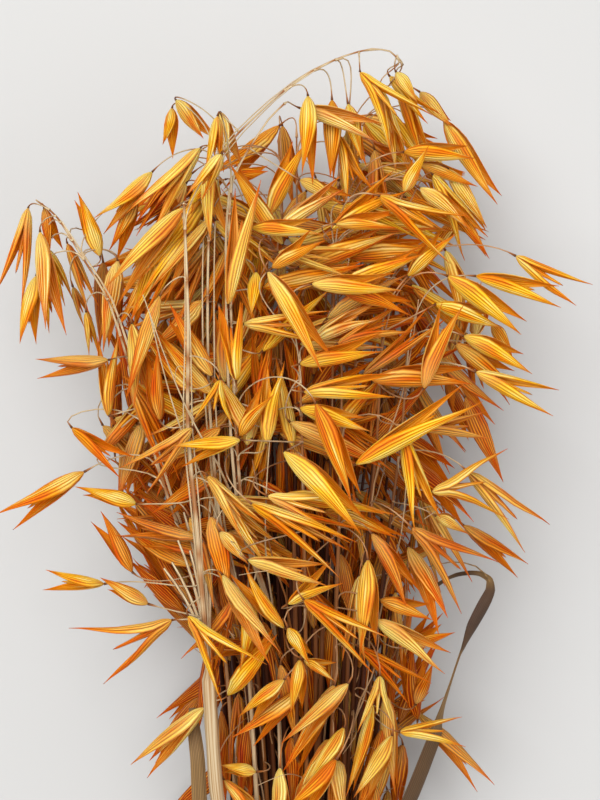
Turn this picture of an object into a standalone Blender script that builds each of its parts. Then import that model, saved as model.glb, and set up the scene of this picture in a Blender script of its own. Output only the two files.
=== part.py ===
# A tied bundle of dried oats, lying on a surface.
# The stems run along Y, with the heads toward +Y and the cut ends toward -Y.
# The front of the bundle faces +Z. The origin is on the surface, under the tie.
# Places and sizes below are in millimetres. The meshes are in metres.

import math
import random

import bmesh
import bpy
import numpy as np
from mathutils import Vector
from mathutils.bvhtree import BVHTree

NAME = "dried_oats_bundle"
MM = 0.001
SEED = 7

# Spikelet: two boat-shaped glumes that open like a beak
GLUME_LENGTH = 25.0
GLUME_WIDTH = 6.6
GLUME_DEPTH = 1.9
BEAK_OPENING = 6.5
CLOSED_OPENING = 4.9
CLOSED_SPREAD = 2.0
NARROWEST = 0.45
STALK_RADIUS = 0.45
NODE_RADIUS = 0.7
SHORTEST_STALK = 3.5
LONGEST_STALK = 34.0
LOWEST_STALK = 1.0
HOOK_AT_STEM = 0.4
HOOK_AT_SPIKELET = 0.45
LONGEST_HOOK = 12.0

# The spikelet along its length: four stations of the stalk, the shoulder where the two
# glumes part, their middle and their tips, with shares of its length, width and depth
STALK_STATIONS = 4
SHOULDER, MIDDLE, TIP = STALK_STATIONS, STALK_STATIONS + 1, STALK_STATIONS + 2
SHARE_ALONG = {SHOULDER: 0.24, MIDDLE: 0.6}
SHARE_WIDE = {SHOULDER: 0.94, MIDDLE: 0.72}
SHARE_DEEP = {SHOULDER: 1.0, MIDDLE: 0.8}
SHARE_OPEN = {SHOULDER: 0.0, MIDDLE: 0.45}

# Stems
CUT_END = -135.0
STEM_RADIUS = 1.3
NECK_RADIUS = 0.95
NECK_Y = 150.0
TIP_RADIUS = 0.6
STEM_RINGS = 3
PITCH = 2 * STEM_RADIUS + 0.4
TIE_STRAIGHT = 7.0

# How the bundle opens from the tie to the heads
HEADS_START = 70.0
ROUTE_HEADS_START = 150.0
BENDS_Y = (60.0, 120.0, 175.0, 220.0)
LEAST_BEND_GAP = 8.0
ROUTE_LEAD = 25.0
FAN_END = 260.0
FAN_GROWTH = 3.1
FOOT_GROWTH = 1.35
FLATTENING = 0.86
FLAT_FROM_Y = 200.0
TWIST = math.radians(16)
SWAY = 2.2
STEM_TOPS = (292.0, 276.0, 262.0, 240.0)
TOP_SPREAD = 16.0
STEM_REACH = (0.0, 3.0, 6.0, 7.0)
REACH_LENGTH = 110.0

# Height of the bundle's axis over the surface
CUT_HEIGHT = 15.0
HEAD_HEIGHT = 40.0
RISE_START = 10.0
RISE_END = 190.0

# Half width of the mass of heads along Y, and how its front bulges
MASS_Y = (50.0, 100.0, 135.0, 165.0, 200.0, 240.0, 275.0, 300.0)
MASS_HALF = (11.0, 20.0, 28.0, 36.0, 45.0, 48.0, 43.0, 28.0)
MASS_FLATTENING = 0.8
MASS_MARGIN = 6.0
LEAST_BULGE = 0.1

# The front heads are laid out as they look from an eye straight above them
EYE_HEIGHT = 434.0
PLANE_HEIGHT = 45.0
EYE_Y = 230.0

# Twine
TWINE_RADIUS = 1.1
TWINE_TURNS = 5
TWINE_FLAT = 0.6
TWINE_STEPS = 22
TWINE_GROOVE = 0.8
KNOT_RADIUS = 2.3
KNOT_LIFT = 0.3
KNOT_TURN = (0.25, 0.3, 0.0)
TAIL_LENGTH = 20.0
TAIL_SLANT = 0.75
TAIL_ARCH = 2.2
TAIL_DROP = 1.5
TAIL_STEPS = 4
UNDER_THE_TIE = (60.0, 60.0, 10.0)
TWINE_INNER = STEM_RINGS * PITCH + STEM_RADIUS + 0.3
TIE_HEIGHT = TWINE_INNER + 2 * TWINE_RADIUS - TWINE_FLAT

# Each piece stays this clear of the next, and what ends this low lies on the surface
CLEARANCE = 0.35
SETTLE = 4.0
LIFTS = (0, -1.5, 1.5, -3, -4.5, 3, -6, -8, -10, -12.5, -15, -18, 5, -21)
SHIFTS = (0, 2.5, 5)

# Welds in metres, and the angle under which a mesh looks round
WELD = 0.000001
FINE_WELD = 0.0000001
ROUND_ANGLE = math.radians(50)

COLOURS = {
    "husk": ((0.72, 0.36, 0.07), 0.55),
    "brown_leaf": ((0.23, 0.12, 0.05), 0.65),
    "twine": ((0.45, 0.33, 0.19), 0.9),
}

# Stems that leave the fan, by their slot in the tie: places seen from above, with their
# height. A sheath is a leaf's foot round the stem: where it starts and ends, its radius
STEM_ROUTES = {
    24: {
        "name": "head_short_arch",
        "points": [(-14, 200, 66), (-17, 245, 71), (-17, 284, 70), (-8, 300, 68), (-4, 304, 68)],
    },
    25: {
        "name": "head_long_arch",
        "points": [
            (-20, 200, 64), (-23, 240, 67), (-21, 289, 64), (-9, 303, 62), (1, 311, 61),
            (11, 316, 60), (19, 318, 59), (24, 317, 58),
        ],
    },
    26: {
        "name": "head_left_straw",
        "points": [
            (-18, 115, 53), (-21, 133, 58), (-23, 163, 65), (-26, 200, 72), (-28, 222, 75),
            (-28, 250, 76), (-29, 279, 73),
        ],
        "sheath": (100, 166, 1.7),
    },
    27: {
        "name": "head_left_droop",
        "points": [
            (-31, 200, 52), (-38, 222, 55), (-44, 243, 56), (-48, 255, 55), (-54, 265, 53),
            (-61, 276, 50), (-66, 280, 47),
        ],
    },
}

# Spikelets of the front, as seen from above: base x and y, the middle of the two
# tips x and y, how far apart the tips look, and how far it stands out of the mass
FRONT_SPIKELETS = [
    # the two arches
    (0, 303, 20, 297, 5, 0), (2, 306, 2, 285, 2, 0), (8, 305, 8, 285, 1, 0),
    (12, 304, 16, 289, 1, 0), (15, 312, 28, 296, 13, 0), (24, 312, 29, 305, 1, 0),
    (10, 296, 15, 280, 6, -4), (30, 307, 38, 299, 2, -12), (36, 300, 50, 280, 3, -10),
    (26, 292, 43, 292, 4, -8), (30, 289, 43, 285, 3, -12), (26, 282, 30, 292, 2, -6),
    (30, 283, 43, 274, 3, -6), (0, 285, 12, 280, 3, -4), (-8, 276, 0, 295, 4, -5),
    (-16, 286, -8, 288, 2, -2),
    # upper left
    (-32, 303, -33, 292, 2, -2), (-31, 305, -22, 295, 3, -2), (-20, 302, -16, 289, 3, -2),
    (-25, 293, -40, 273, 6, 3), (-23, 289, -20, 270, 4, 1), (-23, 285, -28, 277, 1, 0),
    (-29, 278, -47, 256, 4, 4), (-37, 287, -50, 273, 3, -4), (-41, 281, -47, 266, 2, -6),
    (-18, 254, -13, 284, 5, 2), (-12, 273, 5, 273, 4, 0), (-7, 263, 5, 271, 4, 1),
    (-11, 262, -11, 251, 2, 0),
    # the drooping head on the left
    (-68, 278, -73, 255, 7, 0), (-66, 261, -68, 244, 3, 0), (-65, 272, -61, 247, 4, 2),
    (-64, 278, -61, 267, 3, -3), (-50, 266, -56, 281, 2, 0),
    # left side
    (-48, 240, -66, 238, 5, 4), (-48, 226, -48, 246, 5, 2), (-42, 249, -39, 227, 4, 3),
    (-35, 225, -37, 242, 3, 0), (-57, 223, -43, 213, 5, 5), (-27, 223, -42, 210, 8, 7),
    (-15, 220, -31, 216, 5, 4), (-54, 212, -74, 199, 4, 2), (-22, 236, -33, 252, 3, 1),
    (-20, 235, -22, 224, 8, 3), (-16, 235, -18, 254, 6, 3), (-15, 221, -8, 233, 3, 0),
    (-23, 211, -11, 196, 6, 5), (-41, 204, -55, 207, 2, -2), (-42, 187, -51, 201, 4, -2),
    (-38, 179, -49, 184, 3, -2), (-49, 184, -64, 185, 5, -2), (-32, 175, -53, 165, 15, 2),
    (-28, 176, -14, 159, 13, 5), (-24, 153, -40, 137, 6, 0), (-4, 173, -16, 188, 4, 2),
    (-4, 160, -14, 150, 4, 1), (-12, 180, -14, 163, 2, -3), (-20, 197, -12, 190, 2, -1),
    # centre
    (-8, 262, 7, 238, 3, 6), (3, 259, 25, 259, 4, 2), (11, 257, 28, 253, 3, 0),
    (-14, 249, 7, 248, 7, 3), (0, 239, 21, 244, 4, 2), (1, 232, 24, 234, 6, 3),
    (4, 229, 14, 205, 3, 7), (0, 228, 17, 224, 3, 1), (-4, 217, 16, 198, 3, 5),
    (-8, 206, 13, 200, 10, 3), (-12, 204, 12, 190, 9, 3), (-13, 190, 7, 186, 5, 3),
    (-3, 179, 9, 187, 5, 1), (1, 180, 20, 166, 8, 5), (17, 190, 17, 167, 4, 3),
    (-3, 173, 3, 165, 1, 1), (1, 165, 9, 162, 3, 0), (0, 165, -1, 152, 3, 0),
    (9, 274, 24, 275, 4, 1),
    # right side
    (20, 281, 40, 270, 12, 4), (27, 261, 37, 272, 3, 2), (54, 266, 71, 256, 7, 3),
    (44, 261, 65, 256, 5, 2), (37, 261, 56, 248, 4, 3), (34, 254, 50, 250, 4, 1),
    (48, 249, 53, 242, 2, -8), (31, 233, 39, 254, 4, 3), (41, 246, 57, 239, 4, 1),
    (39, 244, 54, 235, 4, -3), (44, 237, 64, 229, 6, 4), (18, 235, 43, 236, 4, 3),
    (14, 214, 43, 232, 4, 5), (31, 223, 47, 224, 6, 0), (26, 221, 33, 199, 6, 6),
    (33, 207, 52, 210, 16, 2), (42, 212, 59, 195, 7, 6), (34, 201, 41, 198, 2, -4),
    (28, 198, 45, 183, 14, 4),
    # lower middle and lower right
    (20, 180, 33, 177, 3, -4), (19, 175, 37, 165, 4, 2), (27, 168, 37, 173, 2, -6),
    (29, 154, 32, 165, 2, -8), (12, 159, -3, 143, 4, 5), (20, 161, 19, 147, 8, 3),
    (11, 148, 2, 133, 4, 1), (25, 147, 41, 147, 6, -2), (23, 146, 15, 130, 4, 0),
    (-11, 137, -20, 138, 3, 1), (-5, 138, -4, 120, 4, 2), (-19, 135, -8, 122, 4, 2),
    (9, 140, -2, 126, 5, 4),
]

# How many spikelets a stem carries: at the back by rule, and at least and most
BACK_SPIKELETS = 5
LEAST_ON_A_STEM = 3
MOST_ON_A_STEM = 11
SAMPLE_STEP = 4.0

# How the spikelets are placed that follow a rule: distances, then shares of the direction
TRIES_EACH = 14
RULED_TURN = 0.9
RULED_STAND_OFF = (6.0, 17.0)
RULED_AHEAD = (-4.0, 14.0)
RULED_HANGING = 0.72
RULED_HANG = (0.5, 1.1)
RULED_RISE = (0.2, 0.9)
RULED_OUTWARD = (0.1, 0.8)
RULED_ASIDE = (-0.6, 0.6)
RULED_LENGTH = (0.8, 1.08)
RULED_GAPE = (5.0, 10.0)

# How a spikelet chooses its stem: the nearest, with less on it, behind the spikelet
COST_OF_CROWD = 0.8
COST_OF_FRONT = 14.0
COST_OF_ABOVE = 3.0
PLACES_ON_A_STEM = 4
PLACES_TRIED = 12

# Leaves, by their slot: places seen from above, height, half width and roll in degrees
LEAVES = {
    19: {
        "name": "leaf_right_brown",
        "colour": "brown_leaf",
        "points": [
            (27, 130, 30, 2.5, 20), (33, 145, 32, 2.1, 40), (36, 156, 33, 1.2, 70),
            (40, 167, 34, 1.4, 50), (44, 177, 34, 1.6, 30), (48, 183, 34, 1.2, 10),
            (47, 187, 34, 0.8, 0), (43, 187, 34, 0.7, 0), (37, 185, 33, 0.7, 0),
            (33, 183, 32, 0.9, 0), (31, 181, 32, 0.5, 0),
        ],
    },
    28: {
        "name": "leaf_left_brown",
        "colour": "brown_leaf",
        "points": [
            (-23, 110, 46, 1.6, 20), (-25, 128, 50, 1.8, 10), (-26, 140, 51, 1.6, 15),
            (-27, 150, 50, 0.8, 30),
        ],
    },
}
LEAF_THICKNESS = 0.8
LEAF_FOOT = 1.1
LEAF_FOOT_Y = (CUT_END, -60.0, -TIE_STRAIGHT, TIE_STRAIGHT, 45.0)
LEAF_LEAD = 28.0


def ramp(value, start, end):
    share = min(max((value - start) / (end - start), 0.0), 1.0)
    return share * share * (3 - 2 * share)


def unit(vector):
    return vector / max(np.linalg.norm(vector), 1e-9)


def axis_height(y):
    if y < 0:
        return TIE_HEIGHT + (CUT_HEIGHT - TIE_HEIGHT) * ramp(-y, 0, -CUT_END)
    return TIE_HEIGHT + (HEAD_HEIGHT - TIE_HEIGHT) * ramp(y, RISE_START, RISE_END)


def mass_half(y):
    return float(np.interp(y, MASS_Y, MASS_HALF))


def front_height(x, y):
    """Height of the front of the mass of heads at this place."""
    half = mass_half(y) + MASS_MARGIN
    bulge = math.sqrt(max(LEAST_BULGE, 1 - (x / half) ** 2))
    return axis_height(y) + mass_half(y) * MASS_FLATTENING * bulge


def seen(x, y, z):
    """The point at height z that covers this place, for the eye over the bundle."""
    shrink = (EYE_HEIGHT - z) / (EYE_HEIGHT - PLANE_HEIGHT)
    return np.array((x * shrink, EYE_Y + (y - EYE_Y) * shrink, z))


def clear_scene():
    for thing in list(bpy.data.objects):
        bpy.data.objects.remove(thing, do_unlink=True)


def new_collection(name):
    collection = bpy.data.collections.new(name)
    bpy.context.scene.collection.children.link(collection)
    return collection


def give_material(thing, kind):
    colour, roughness = COLOURS[kind]
    new = bpy.data.materials.new(thing.name)
    new.use_nodes = True
    shader = new.node_tree.nodes["Principled BSDF"]
    shader.inputs["Base Color"].default_value = (*colour, 1.0)
    shader.inputs["Roughness"].default_value = roughness
    shader.inputs["Metallic"].default_value = 0.0
    thing.data.materials.clear()
    thing.data.materials.append(new)


def mesh_object(name, points, faces, collection):
    mesh = bpy.data.meshes.new(name)
    mesh.from_pydata([tuple(point * MM) for point in points], [], faces)
    mesh.update()
    new = bpy.data.objects.new(name, mesh)
    collection.objects.link(new)
    return new


def hexagonal_slots(rings):
    """Places of the stems in the tie, in rings round the middle one."""
    slots = [(0, np.zeros(2))]
    corners = [np.array((math.cos(a), math.sin(a))) for a in np.radians(np.arange(0, 420, 60))]
    for ring in range(1, rings + 1):
        for side in range(6):
            for step in range(ring):
                place = corners[side] * (ring - step) + corners[side + 1] * step
                slots.append((ring, place * PITCH))
    return slots


def fan(y):
    if y < 0:
        return 1 + (FOOT_GROWTH - 1) * max(0.0, (-y - TIE_STRAIGHT) / (-CUT_END - TIE_STRAIGHT))
    return 1 + (FAN_GROWTH - 1) * max(0.0, (y - TIE_STRAIGHT) / (FAN_END - TIE_STRAIGHT))


def slot_point(place, y, sway):
    """Where the stem in this slot passes this y."""
    share = max(0.0, y - TIE_STRAIGHT) / FAN_END
    turn = TWIST * share
    growth = fan(y)
    x = place[0] * math.cos(turn) - place[1] * math.sin(turn)
    z = place[0] * math.sin(turn) + place[1] * math.cos(turn)
    flat = 1 - (1 - FLATTENING) * ramp(y, 0, FLAT_FROM_Y)
    height = axis_height(y) + z * growth * flat
    return np.array((x * growth + sway[0] * share, y, height + sway[1] * share))


def stem_radius(y, top, sheath=None):
    if sheath and sheath[0] < y < sheath[1]:
        return sheath[2]
    if y < NECK_Y:
        return STEM_RADIUS + (NECK_RADIUS - STEM_RADIUS) * ramp(y, 0, NECK_Y)
    return NECK_RADIUS + (TIP_RADIUS - NECK_RADIUS) * ramp(y, NECK_Y, top)


def stem_points(ring, place, sway, route=None, top=None):
    """Points of a stem from its cut end to its tip."""
    stop = route["points"][0][1] - ROUTE_LEAD if route else top
    heights = [CUT_END + abs(sway[0]), -TIE_STRAIGHT, TIE_STRAIGHT]
    heights += [y for y in BENDS_Y if y < stop - LEAST_BEND_GAP]
    heights.append(stop)
    points = []
    for y in heights:
        point = slot_point(place, y, sway)
        if not route:
            outward = unit(point - np.array((0, y, axis_height(y)))) if ring else np.zeros(3)
            point = point + outward * STEM_REACH[ring] * ramp(y, top - REACH_LENGTH, top)
        points.append(point)
    if route:
        points += [seen(*spot) for spot in route["points"]]
    return points


def tube(name, points, radii, collection, resolution=0):
    """A closed tube as a mesh object, made from a curve."""
    curve = bpy.data.curves.new(name, "CURVE")
    curve.dimensions = "3D"
    curve.bevel_depth = MM
    curve.bevel_resolution = resolution
    curve.use_fill_caps = True
    spline = curve.splines.new("POLY")
    spline.points.add(len(points) - 1)
    for knot, point, radius in zip(spline.points, points, radii):
        knot.co = (*(point * MM), 1.0)
        knot.radius = radius
    guide = bpy.data.objects.new(name, curve)
    collection.objects.link(guide)
    bpy.context.view_layer.update()
    graph = bpy.context.evaluated_depsgraph_get()
    mesh = bpy.data.meshes.new_from_object(guide.evaluated_get(graph))
    bpy.data.objects.remove(guide)
    shape = bmesh.new()
    shape.from_mesh(mesh)
    bmesh.ops.remove_doubles(shape, verts=shape.verts, dist=WELD)
    bmesh.ops.recalc_face_normals(shape, faces=shape.faces)
    bmesh.ops.triangulate(shape, faces=shape.faces)
    shape.to_mesh(mesh)
    shape.free()
    new = bpy.data.objects.new(name, mesh)
    collection.objects.link(new)
    return new


def square_rod(shape, stations):
    """A straight four-sided rod, one unit long between stations. Returns its top face."""
    bmesh.ops.create_cone(shape, cap_ends=True, segments=4, radius1=1, radius2=1, depth=1)
    bmesh.ops.translate(shape, verts=shape.verts, vec=(0, 0, 0.5))
    top = max(shape.faces, key=lambda face: face.calc_center_median().z)
    for _ in range(stations - 2):
        grown = bmesh.ops.extrude_face_region(shape, geom=[top])
        bmesh.ops.delete(shape, geom=[top], context="FACES_ONLY")
        top = next(part for part in grown["geom"] if isinstance(part, bmesh.types.BMFace))
        bmesh.ops.translate(shape, verts=top.verts, vec=(0, 0, 1))
    return top


def spikelet_template():
    """A rod that ends in two prongs, as (across the opening, width, station), and its faces."""
    shape = bmesh.new()
    top = square_rod(shape, SHOULDER + 1)
    edges = [vert for vert in top.verts if abs(vert.co.x) < 0.1]
    other, _ = bmesh.utils.face_split(top, edges[0], edges[1])
    halves = [top, other]
    for station in (MIDDLE, TIP):
        halves = bmesh.ops.extrude_discrete_faces(shape, faces=halves)["faces"]
        for half in halves:
            side = math.copysign(1, half.calc_center_median().x)
            for vert in half.verts:
                keel = abs(vert.co.y) < 0.1
                vert.co = (side * (2 if keel else 1), vert.co.y, station)
    for half in halves:
        side = math.copysign(1, half.calc_center_median().x)
        bmesh.ops.pointmerge(shape, verts=half.verts, merge_co=(side, 0, TIP))
    bmesh.ops.recalc_face_normals(shape, faces=shape.faces)
    bmesh.ops.triangulate(shape, faces=shape.faces)
    shape.verts.ensure_lookup_table()
    places = np.array([tuple(vert.co) for vert in shape.verts])
    faces = [tuple(vert.index for vert in face.verts) for face in shape.faces]
    shape.free()
    return places, faces


def bezier(start, lean_out, lean_in, end, count):
    points = []
    for step in range(count):
        t = step / (count - 1)
        s = 1 - t
        points.append(start * s ** 3 + lean_out * 3 * s * s * t + lean_in * 3 * s * t * t + end * t ** 3)
    return points


def stalk_route(root, tangent, base, direction):
    """The hooked stalk from the stem to the base of the spikelet."""
    reach = np.linalg.norm(base - root)
    lean_out = root + tangent * reach * HOOK_AT_STEM
    lean_in = base - direction * min(reach * HOOK_AT_SPIKELET, LONGEST_HOOK)
    return bezier(root, lean_out, lean_in, base, STALK_STATIONS)


def stalk_frames(stalk, direction, opening):
    """Place and two cross directions at each station, carried back from the spikelet."""
    frames = [None] * STALK_STATIONS
    across = opening
    for station in range(STALK_STATIONS - 1, -1, -1):
        before = stalk[max(station - 1, 0)]
        after = stalk[min(station + 1, STALK_STATIONS - 1)]
        tangent = direction if station == STALK_STATIONS - 1 else unit(after - before)
        across = unit(across - tangent * np.dot(across, tangent))
        frames[station] = (stalk[station], across, np.cross(tangent, across))
    return frames


def spikelet_points(template, wanted, stalk, extra=0.0):
    """Bends the straight template along the stalk and opens its beak. Extra makes it fatter."""
    base, direction, opening = wanted["base"], wanted["direction"], wanted["opening"]
    wide = np.cross(direction, opening)
    frames = stalk_frames(stalk, direction, opening)
    points = np.zeros_like(template[0])
    for index, (u, v, station) in enumerate(template[0]):
        station = int(round(station))
        side = math.copysign(1, u) if abs(u) > 0.1 else 0
        if station < STALK_STATIONS:
            centre, across, third = frames[station]
            radius = NODE_RADIUS if station == STALK_STATIONS - 1 else STALK_RADIUS
            points[index] = centre + (across * u + third * v) * (radius + extra)
        elif station == TIP:
            out = side * wanted["gape"] / 2
            points[index] = base + direction * (wanted["length"] + extra) + opening * out
        else:
            apart = SHARE_OPEN[station] * wanted["gape"] / 2
            keel = abs(u) - (1 if station > SHOULDER else 0)
            depth = SHARE_DEEP[station] * GLUME_DEPTH + extra * (2 if station > SHOULDER else 1)
            out = side * (max(apart - extra, 0.0) + depth * keel)
            half = SHARE_WIDE[station] * wanted["width"] / 2 + extra
            along = SHARE_ALONG[station] * wanted["length"]
            points[index] = base + direction * along + opening * out + wide * v * half
    return points


def bounds(points):
    return points.min(axis=0), points.max(axis=0)


def tree_of(points, faces):
    return BVHTree.FromPolygons([Vector(point) for point in points], faces)


class Room:
    """What has been placed so far, to keep each new piece clear of the others."""

    def __init__(self):
        self.items = []

    def add(self, owner, kind, points, faces):
        used = sorted({index for face in faces for index in face})
        low, high = bounds(points[used])
        self.items.append((owner, kind, tree_of(points, faces), low, high))

    def add_object(self, owner, kind, thing):
        points = np.array([tuple(thing.matrix_world @ vert.co / MM) for vert in thing.data.vertices])
        faces = [tuple(face.vertices) for face in thing.data.polygons]
        if not self.is_clear(owner, kind, points, faces):
            print(owner, "crosses what is there")
        self.add(owner, kind, points, faces)

    def is_clear(self, owner, kind, points, faces):
        used = sorted({index for face in faces for index in face})
        low, high = bounds(points[used])
        tree = None
        for other, other_kind, other_tree, other_low, other_high in self.items:
            if (low > other_high).any() or (high < other_low).any():
                continue
            if kind == "stalk" and other == owner and other_kind != "beak":
                continue
            if tree is None:
                tree = tree_of(points, faces)
            if tree.overlap(other_tree):
                return False
        return True


def split_faces(template):
    """Faces of the stalk and faces of the beak."""
    places, faces = template
    stalk = [face for face in faces if max(places[index][2] for index in face) < SHOULDER - 0.5]
    beak = [face for face in faces if max(places[index][2] for index in face) > SHOULDER - 0.5]
    return stalk, beak


def aimed(base, tip, gape, roll, facing):
    """A spikelet from its base to the middle of its tips, rolled from its open side."""
    length = np.linalg.norm(tip - base)
    direction = (tip - base) / length
    sideways = unit(np.cross(direction, facing))
    forward = np.cross(sideways, direction)
    opening = sideways * math.cos(roll) + forward * math.sin(roll)
    small = min(1.0, NARROWEST + (1 - NARROWEST) * length / GLUME_LENGTH)
    return {
        "base": base, "direction": direction, "opening": opening, "length": length,
        "gape": gape, "width": GLUME_WIDTH * small,
    }


def moved(wanted, shift):
    return dict(wanted, base=wanted["base"] + shift)


def roots_for(wanted, stems):
    """Places on the stems that could carry this spikelet, the best first."""
    options = []
    for stem in stems:
        if stem["count"] >= MOST_ON_A_STEM:
            continue
        gaps = stem["samples"] - wanted["base"]
        distances = np.linalg.norm(gaps, axis=1)
        for index in np.argsort(distances)[:PLACES_ON_A_STEM]:
            distance = distances[index]
            if not SHORTEST_STALK < distance < LONGEST_STALK:
                continue
            ahead = np.dot(gaps[index], wanted["direction"]) / distance
            above = gaps[index][1] / distance
            cost = distance + COST_OF_CROWD * stem["count"]
            cost += COST_OF_FRONT * max(0, ahead + 0.1) + COST_OF_ABOVE * above
            options.append((cost, stem, index))
    options.sort(key=lambda option: option[0])
    return options[:PLACES_TRIED]


def settled(template, wanted):
    """Lays a spikelet that ends near the surface, or under it, on the surface."""
    flat = [wanted["base"]] * STALK_STATIONS
    low = spikelet_points(template, wanted, flat)[:, 2].min()
    return moved(wanted, np.array((0, 0, -low))) if low < SETTLE else wanted


def try_to_grow(template, parts, wanted, stems, room, shifts):
    """Grows the spikelet from the first stem and shift that are clear of the rest."""
    stalk_faces, beak_faces = parts
    for shift in shifts:
        here = settled(template, moved(wanted, shift))
        loose = spikelet_points(template, here, [here["base"]] * STALK_STATIONS, CLEARANCE)
        if not room.is_clear(None, "beak", loose, beak_faces):
            continue
        for _, stem, index in roots_for(here, stems):
            stalk = stalk_route(stem["samples"][index], stem["tangents"][index],
                                here["base"], here["direction"])
            if min(point[2] for point in stalk) < LOWEST_STALK:
                continue
            loose = spikelet_points(template, here, stalk, CLEARANCE)
            if not room.is_clear(stem["name"], "stalk", loose, stalk_faces):
                continue
            if not room.is_clear(None, "beak", loose, beak_faces):
                continue
            points = spikelet_points(template, here, stalk)
            room.add(stem["name"], "stalk", points, stalk_faces)
            room.add(stem["name"], "beak", points, beak_faces)
            stem["count"] += 1
            stem["growths"].append(points)
            return True
    return False


def front_spikelets(template, parts, stems, room):
    """The spikelets of the front, each where it is seen."""
    for x, y, tip_x, tip_y, spread, stand_out in FRONT_SPIKELETS:
        height = front_height(x, y) + stand_out
        tip_height = (height + front_height(tip_x, tip_y) + stand_out) / 2
        gape = max(spread, CLOSED_OPENING if spread < CLOSED_SPREAD else BEAK_OPENING)
        roll = math.acos(min(1, spread / gape))
        for lift in LIFTS:
            base = seen(x, y, height + lift)
            tip = seen(tip_x, tip_y, tip_height + lift)
            wanted = aimed(base, tip, gape, roll, np.array((0, 0, 1.0)))
            if try_to_grow(template, parts, wanted, stems, room, [np.zeros(3)]):
                break
        else:
            print("no room for the spikelet at", x, y)


def ruled_spikelets(template, parts, stem, room, draw, count):
    """Spikelets round the upper part of one stem, the first at its tip."""
    placed = 0
    last = len(stem["samples"]) - 1
    for attempt in range(count * TRIES_EACH):
        if placed >= count:
            break
        index = draw.randrange(len(stem["samples"]))
        if placed == 0 and attempt < TRIES_EACH:
            index = last
        root = stem["samples"][index]
        outward = unit(np.array((root[0], 0, root[2] - axis_height(root[1]))))
        aside = np.array((outward[2], 0, -outward[0]))
        turn = draw.gauss(0, RULED_TURN)
        away = outward * math.cos(turn) + aside * math.sin(turn)
        ahead = np.array((0, draw.uniform(*RULED_AHEAD), 0))
        base = root + away * draw.uniform(*RULED_STAND_OFF) + ahead
        is_hanging = draw.random() < RULED_HANGING
        along = -draw.uniform(*RULED_HANG) if is_hanging else draw.uniform(*RULED_RISE)
        lean = away * draw.uniform(*RULED_OUTWARD) + aside * draw.uniform(*RULED_ASIDE)
        direction = unit(lean + np.array((0, along, 0)))
        length = GLUME_LENGTH * draw.uniform(*RULED_LENGTH)
        gape = draw.uniform(*RULED_GAPE)
        roll = draw.uniform(0, math.pi / 2)
        wanted = aimed(base, base + direction * length, gape, roll, away)
        shifts = [away * step for step in SHIFTS]
        placed += try_to_grow(template, parts, wanted, [stem], room, shifts)


def make_stems(collection, room, draw):
    """All stems as tubes, each in its slot in the tie."""
    stems = []
    for number, (ring, place) in enumerate(hexagonal_slots(STEM_RINGS)):
        if number in LEAVES:
            continue
        route = STEM_ROUTES.get(number)
        name = route["name"] if route else f"head_{number:02d}"
        sway = (draw.uniform(-SWAY, SWAY), draw.uniform(-SWAY, SWAY))
        top = STEM_TOPS[ring] + draw.uniform(-TOP_SPREAD, TOP_SPREAD)
        points = stem_points(ring, place, sway, route, top)
        end = points[-1][1]
        sheath = route.get("sheath") if route else None
        radii = [stem_radius(point[1], end, sheath) for point in points]
        new = tube(name, points, radii, collection)
        room.add_object(name, "stem", new)
        start = ROUTE_HEADS_START if route else HEADS_START
        samples, tangents = rachis_samples(points, start)
        stems.append({"name": name, "object": new, "samples": samples, "tangents": tangents,
                      "count": 0, "growths": [], "is_back": place[1] < 0})
    return stems


def rachis_samples(points, start):
    """Even places along the part of the stem that carries spikelets."""
    path = np.array(points)
    steps = np.linalg.norm(np.diff(path, axis=0), axis=1)
    length = np.concatenate(([0], np.cumsum(steps)))
    spots = np.linspace(0, length[-1] - TIP_RADIUS, int(length[-1] / SAMPLE_STEP))
    samples = np.stack([np.interp(spots, length, path[:, axis]) for axis in range(3)], axis=1)
    tangents = np.gradient(samples, axis=0)
    tangents = tangents / np.linalg.norm(tangents, axis=1)[:, None]
    keep = samples[:, 1] > start
    return samples[keep], tangents[keep]


def join_head(stem, template):
    """Fuses the spikelets of a head to their stem."""
    grown = new_collection(stem["name"] + "_spikelets")
    for number, points in enumerate(stem["growths"]):
        mesh_object(f"{stem['name']}_spikelet_{number}", points, template[1], grown)
    fuse(stem["object"], grown)
    bake_modifiers(stem["object"])
    remove_collection(grown)
    give_material(stem["object"], "husk")


def fuse(thing, others):
    """Adds one union with all the objects of a collection."""
    union = thing.modifiers.new("fused", "BOOLEAN")
    union.operation = "UNION"
    union.operand_type = "COLLECTION"
    union.collection = others
    # the exact solver leaves open edges where many thin stalks meet a stem
    union.solver = "MANIFOLD"


def remove_collection(collection):
    for piece in list(collection.objects):
        bpy.data.objects.remove(piece, do_unlink=True)
    bpy.data.collections.remove(collection)


def largest_body(mesh):
    """Drops loose scraps and sealed hollows."""
    shape = bmesh.new()
    shape.from_mesh(mesh)
    bmesh.ops.remove_doubles(shape, verts=shape.verts, dist=FINE_WELD)
    bmesh.ops.triangulate(shape, faces=shape.faces)
    left = set(shape.verts)
    bodies = []
    while left:
        todo = [left.pop()]
        body = set(todo)
        while todo:
            for edge in todo.pop().link_edges:
                for vert in edge.verts:
                    if vert in left:
                        left.discard(vert)
                        body.add(vert)
                        todo.append(vert)
        bodies.append(body)
    bodies.sort(key=len)
    for body in bodies[:-1]:
        bmesh.ops.delete(shape, geom=list(body), context="VERTS")
    shape.to_mesh(mesh)
    shape.free()


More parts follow.
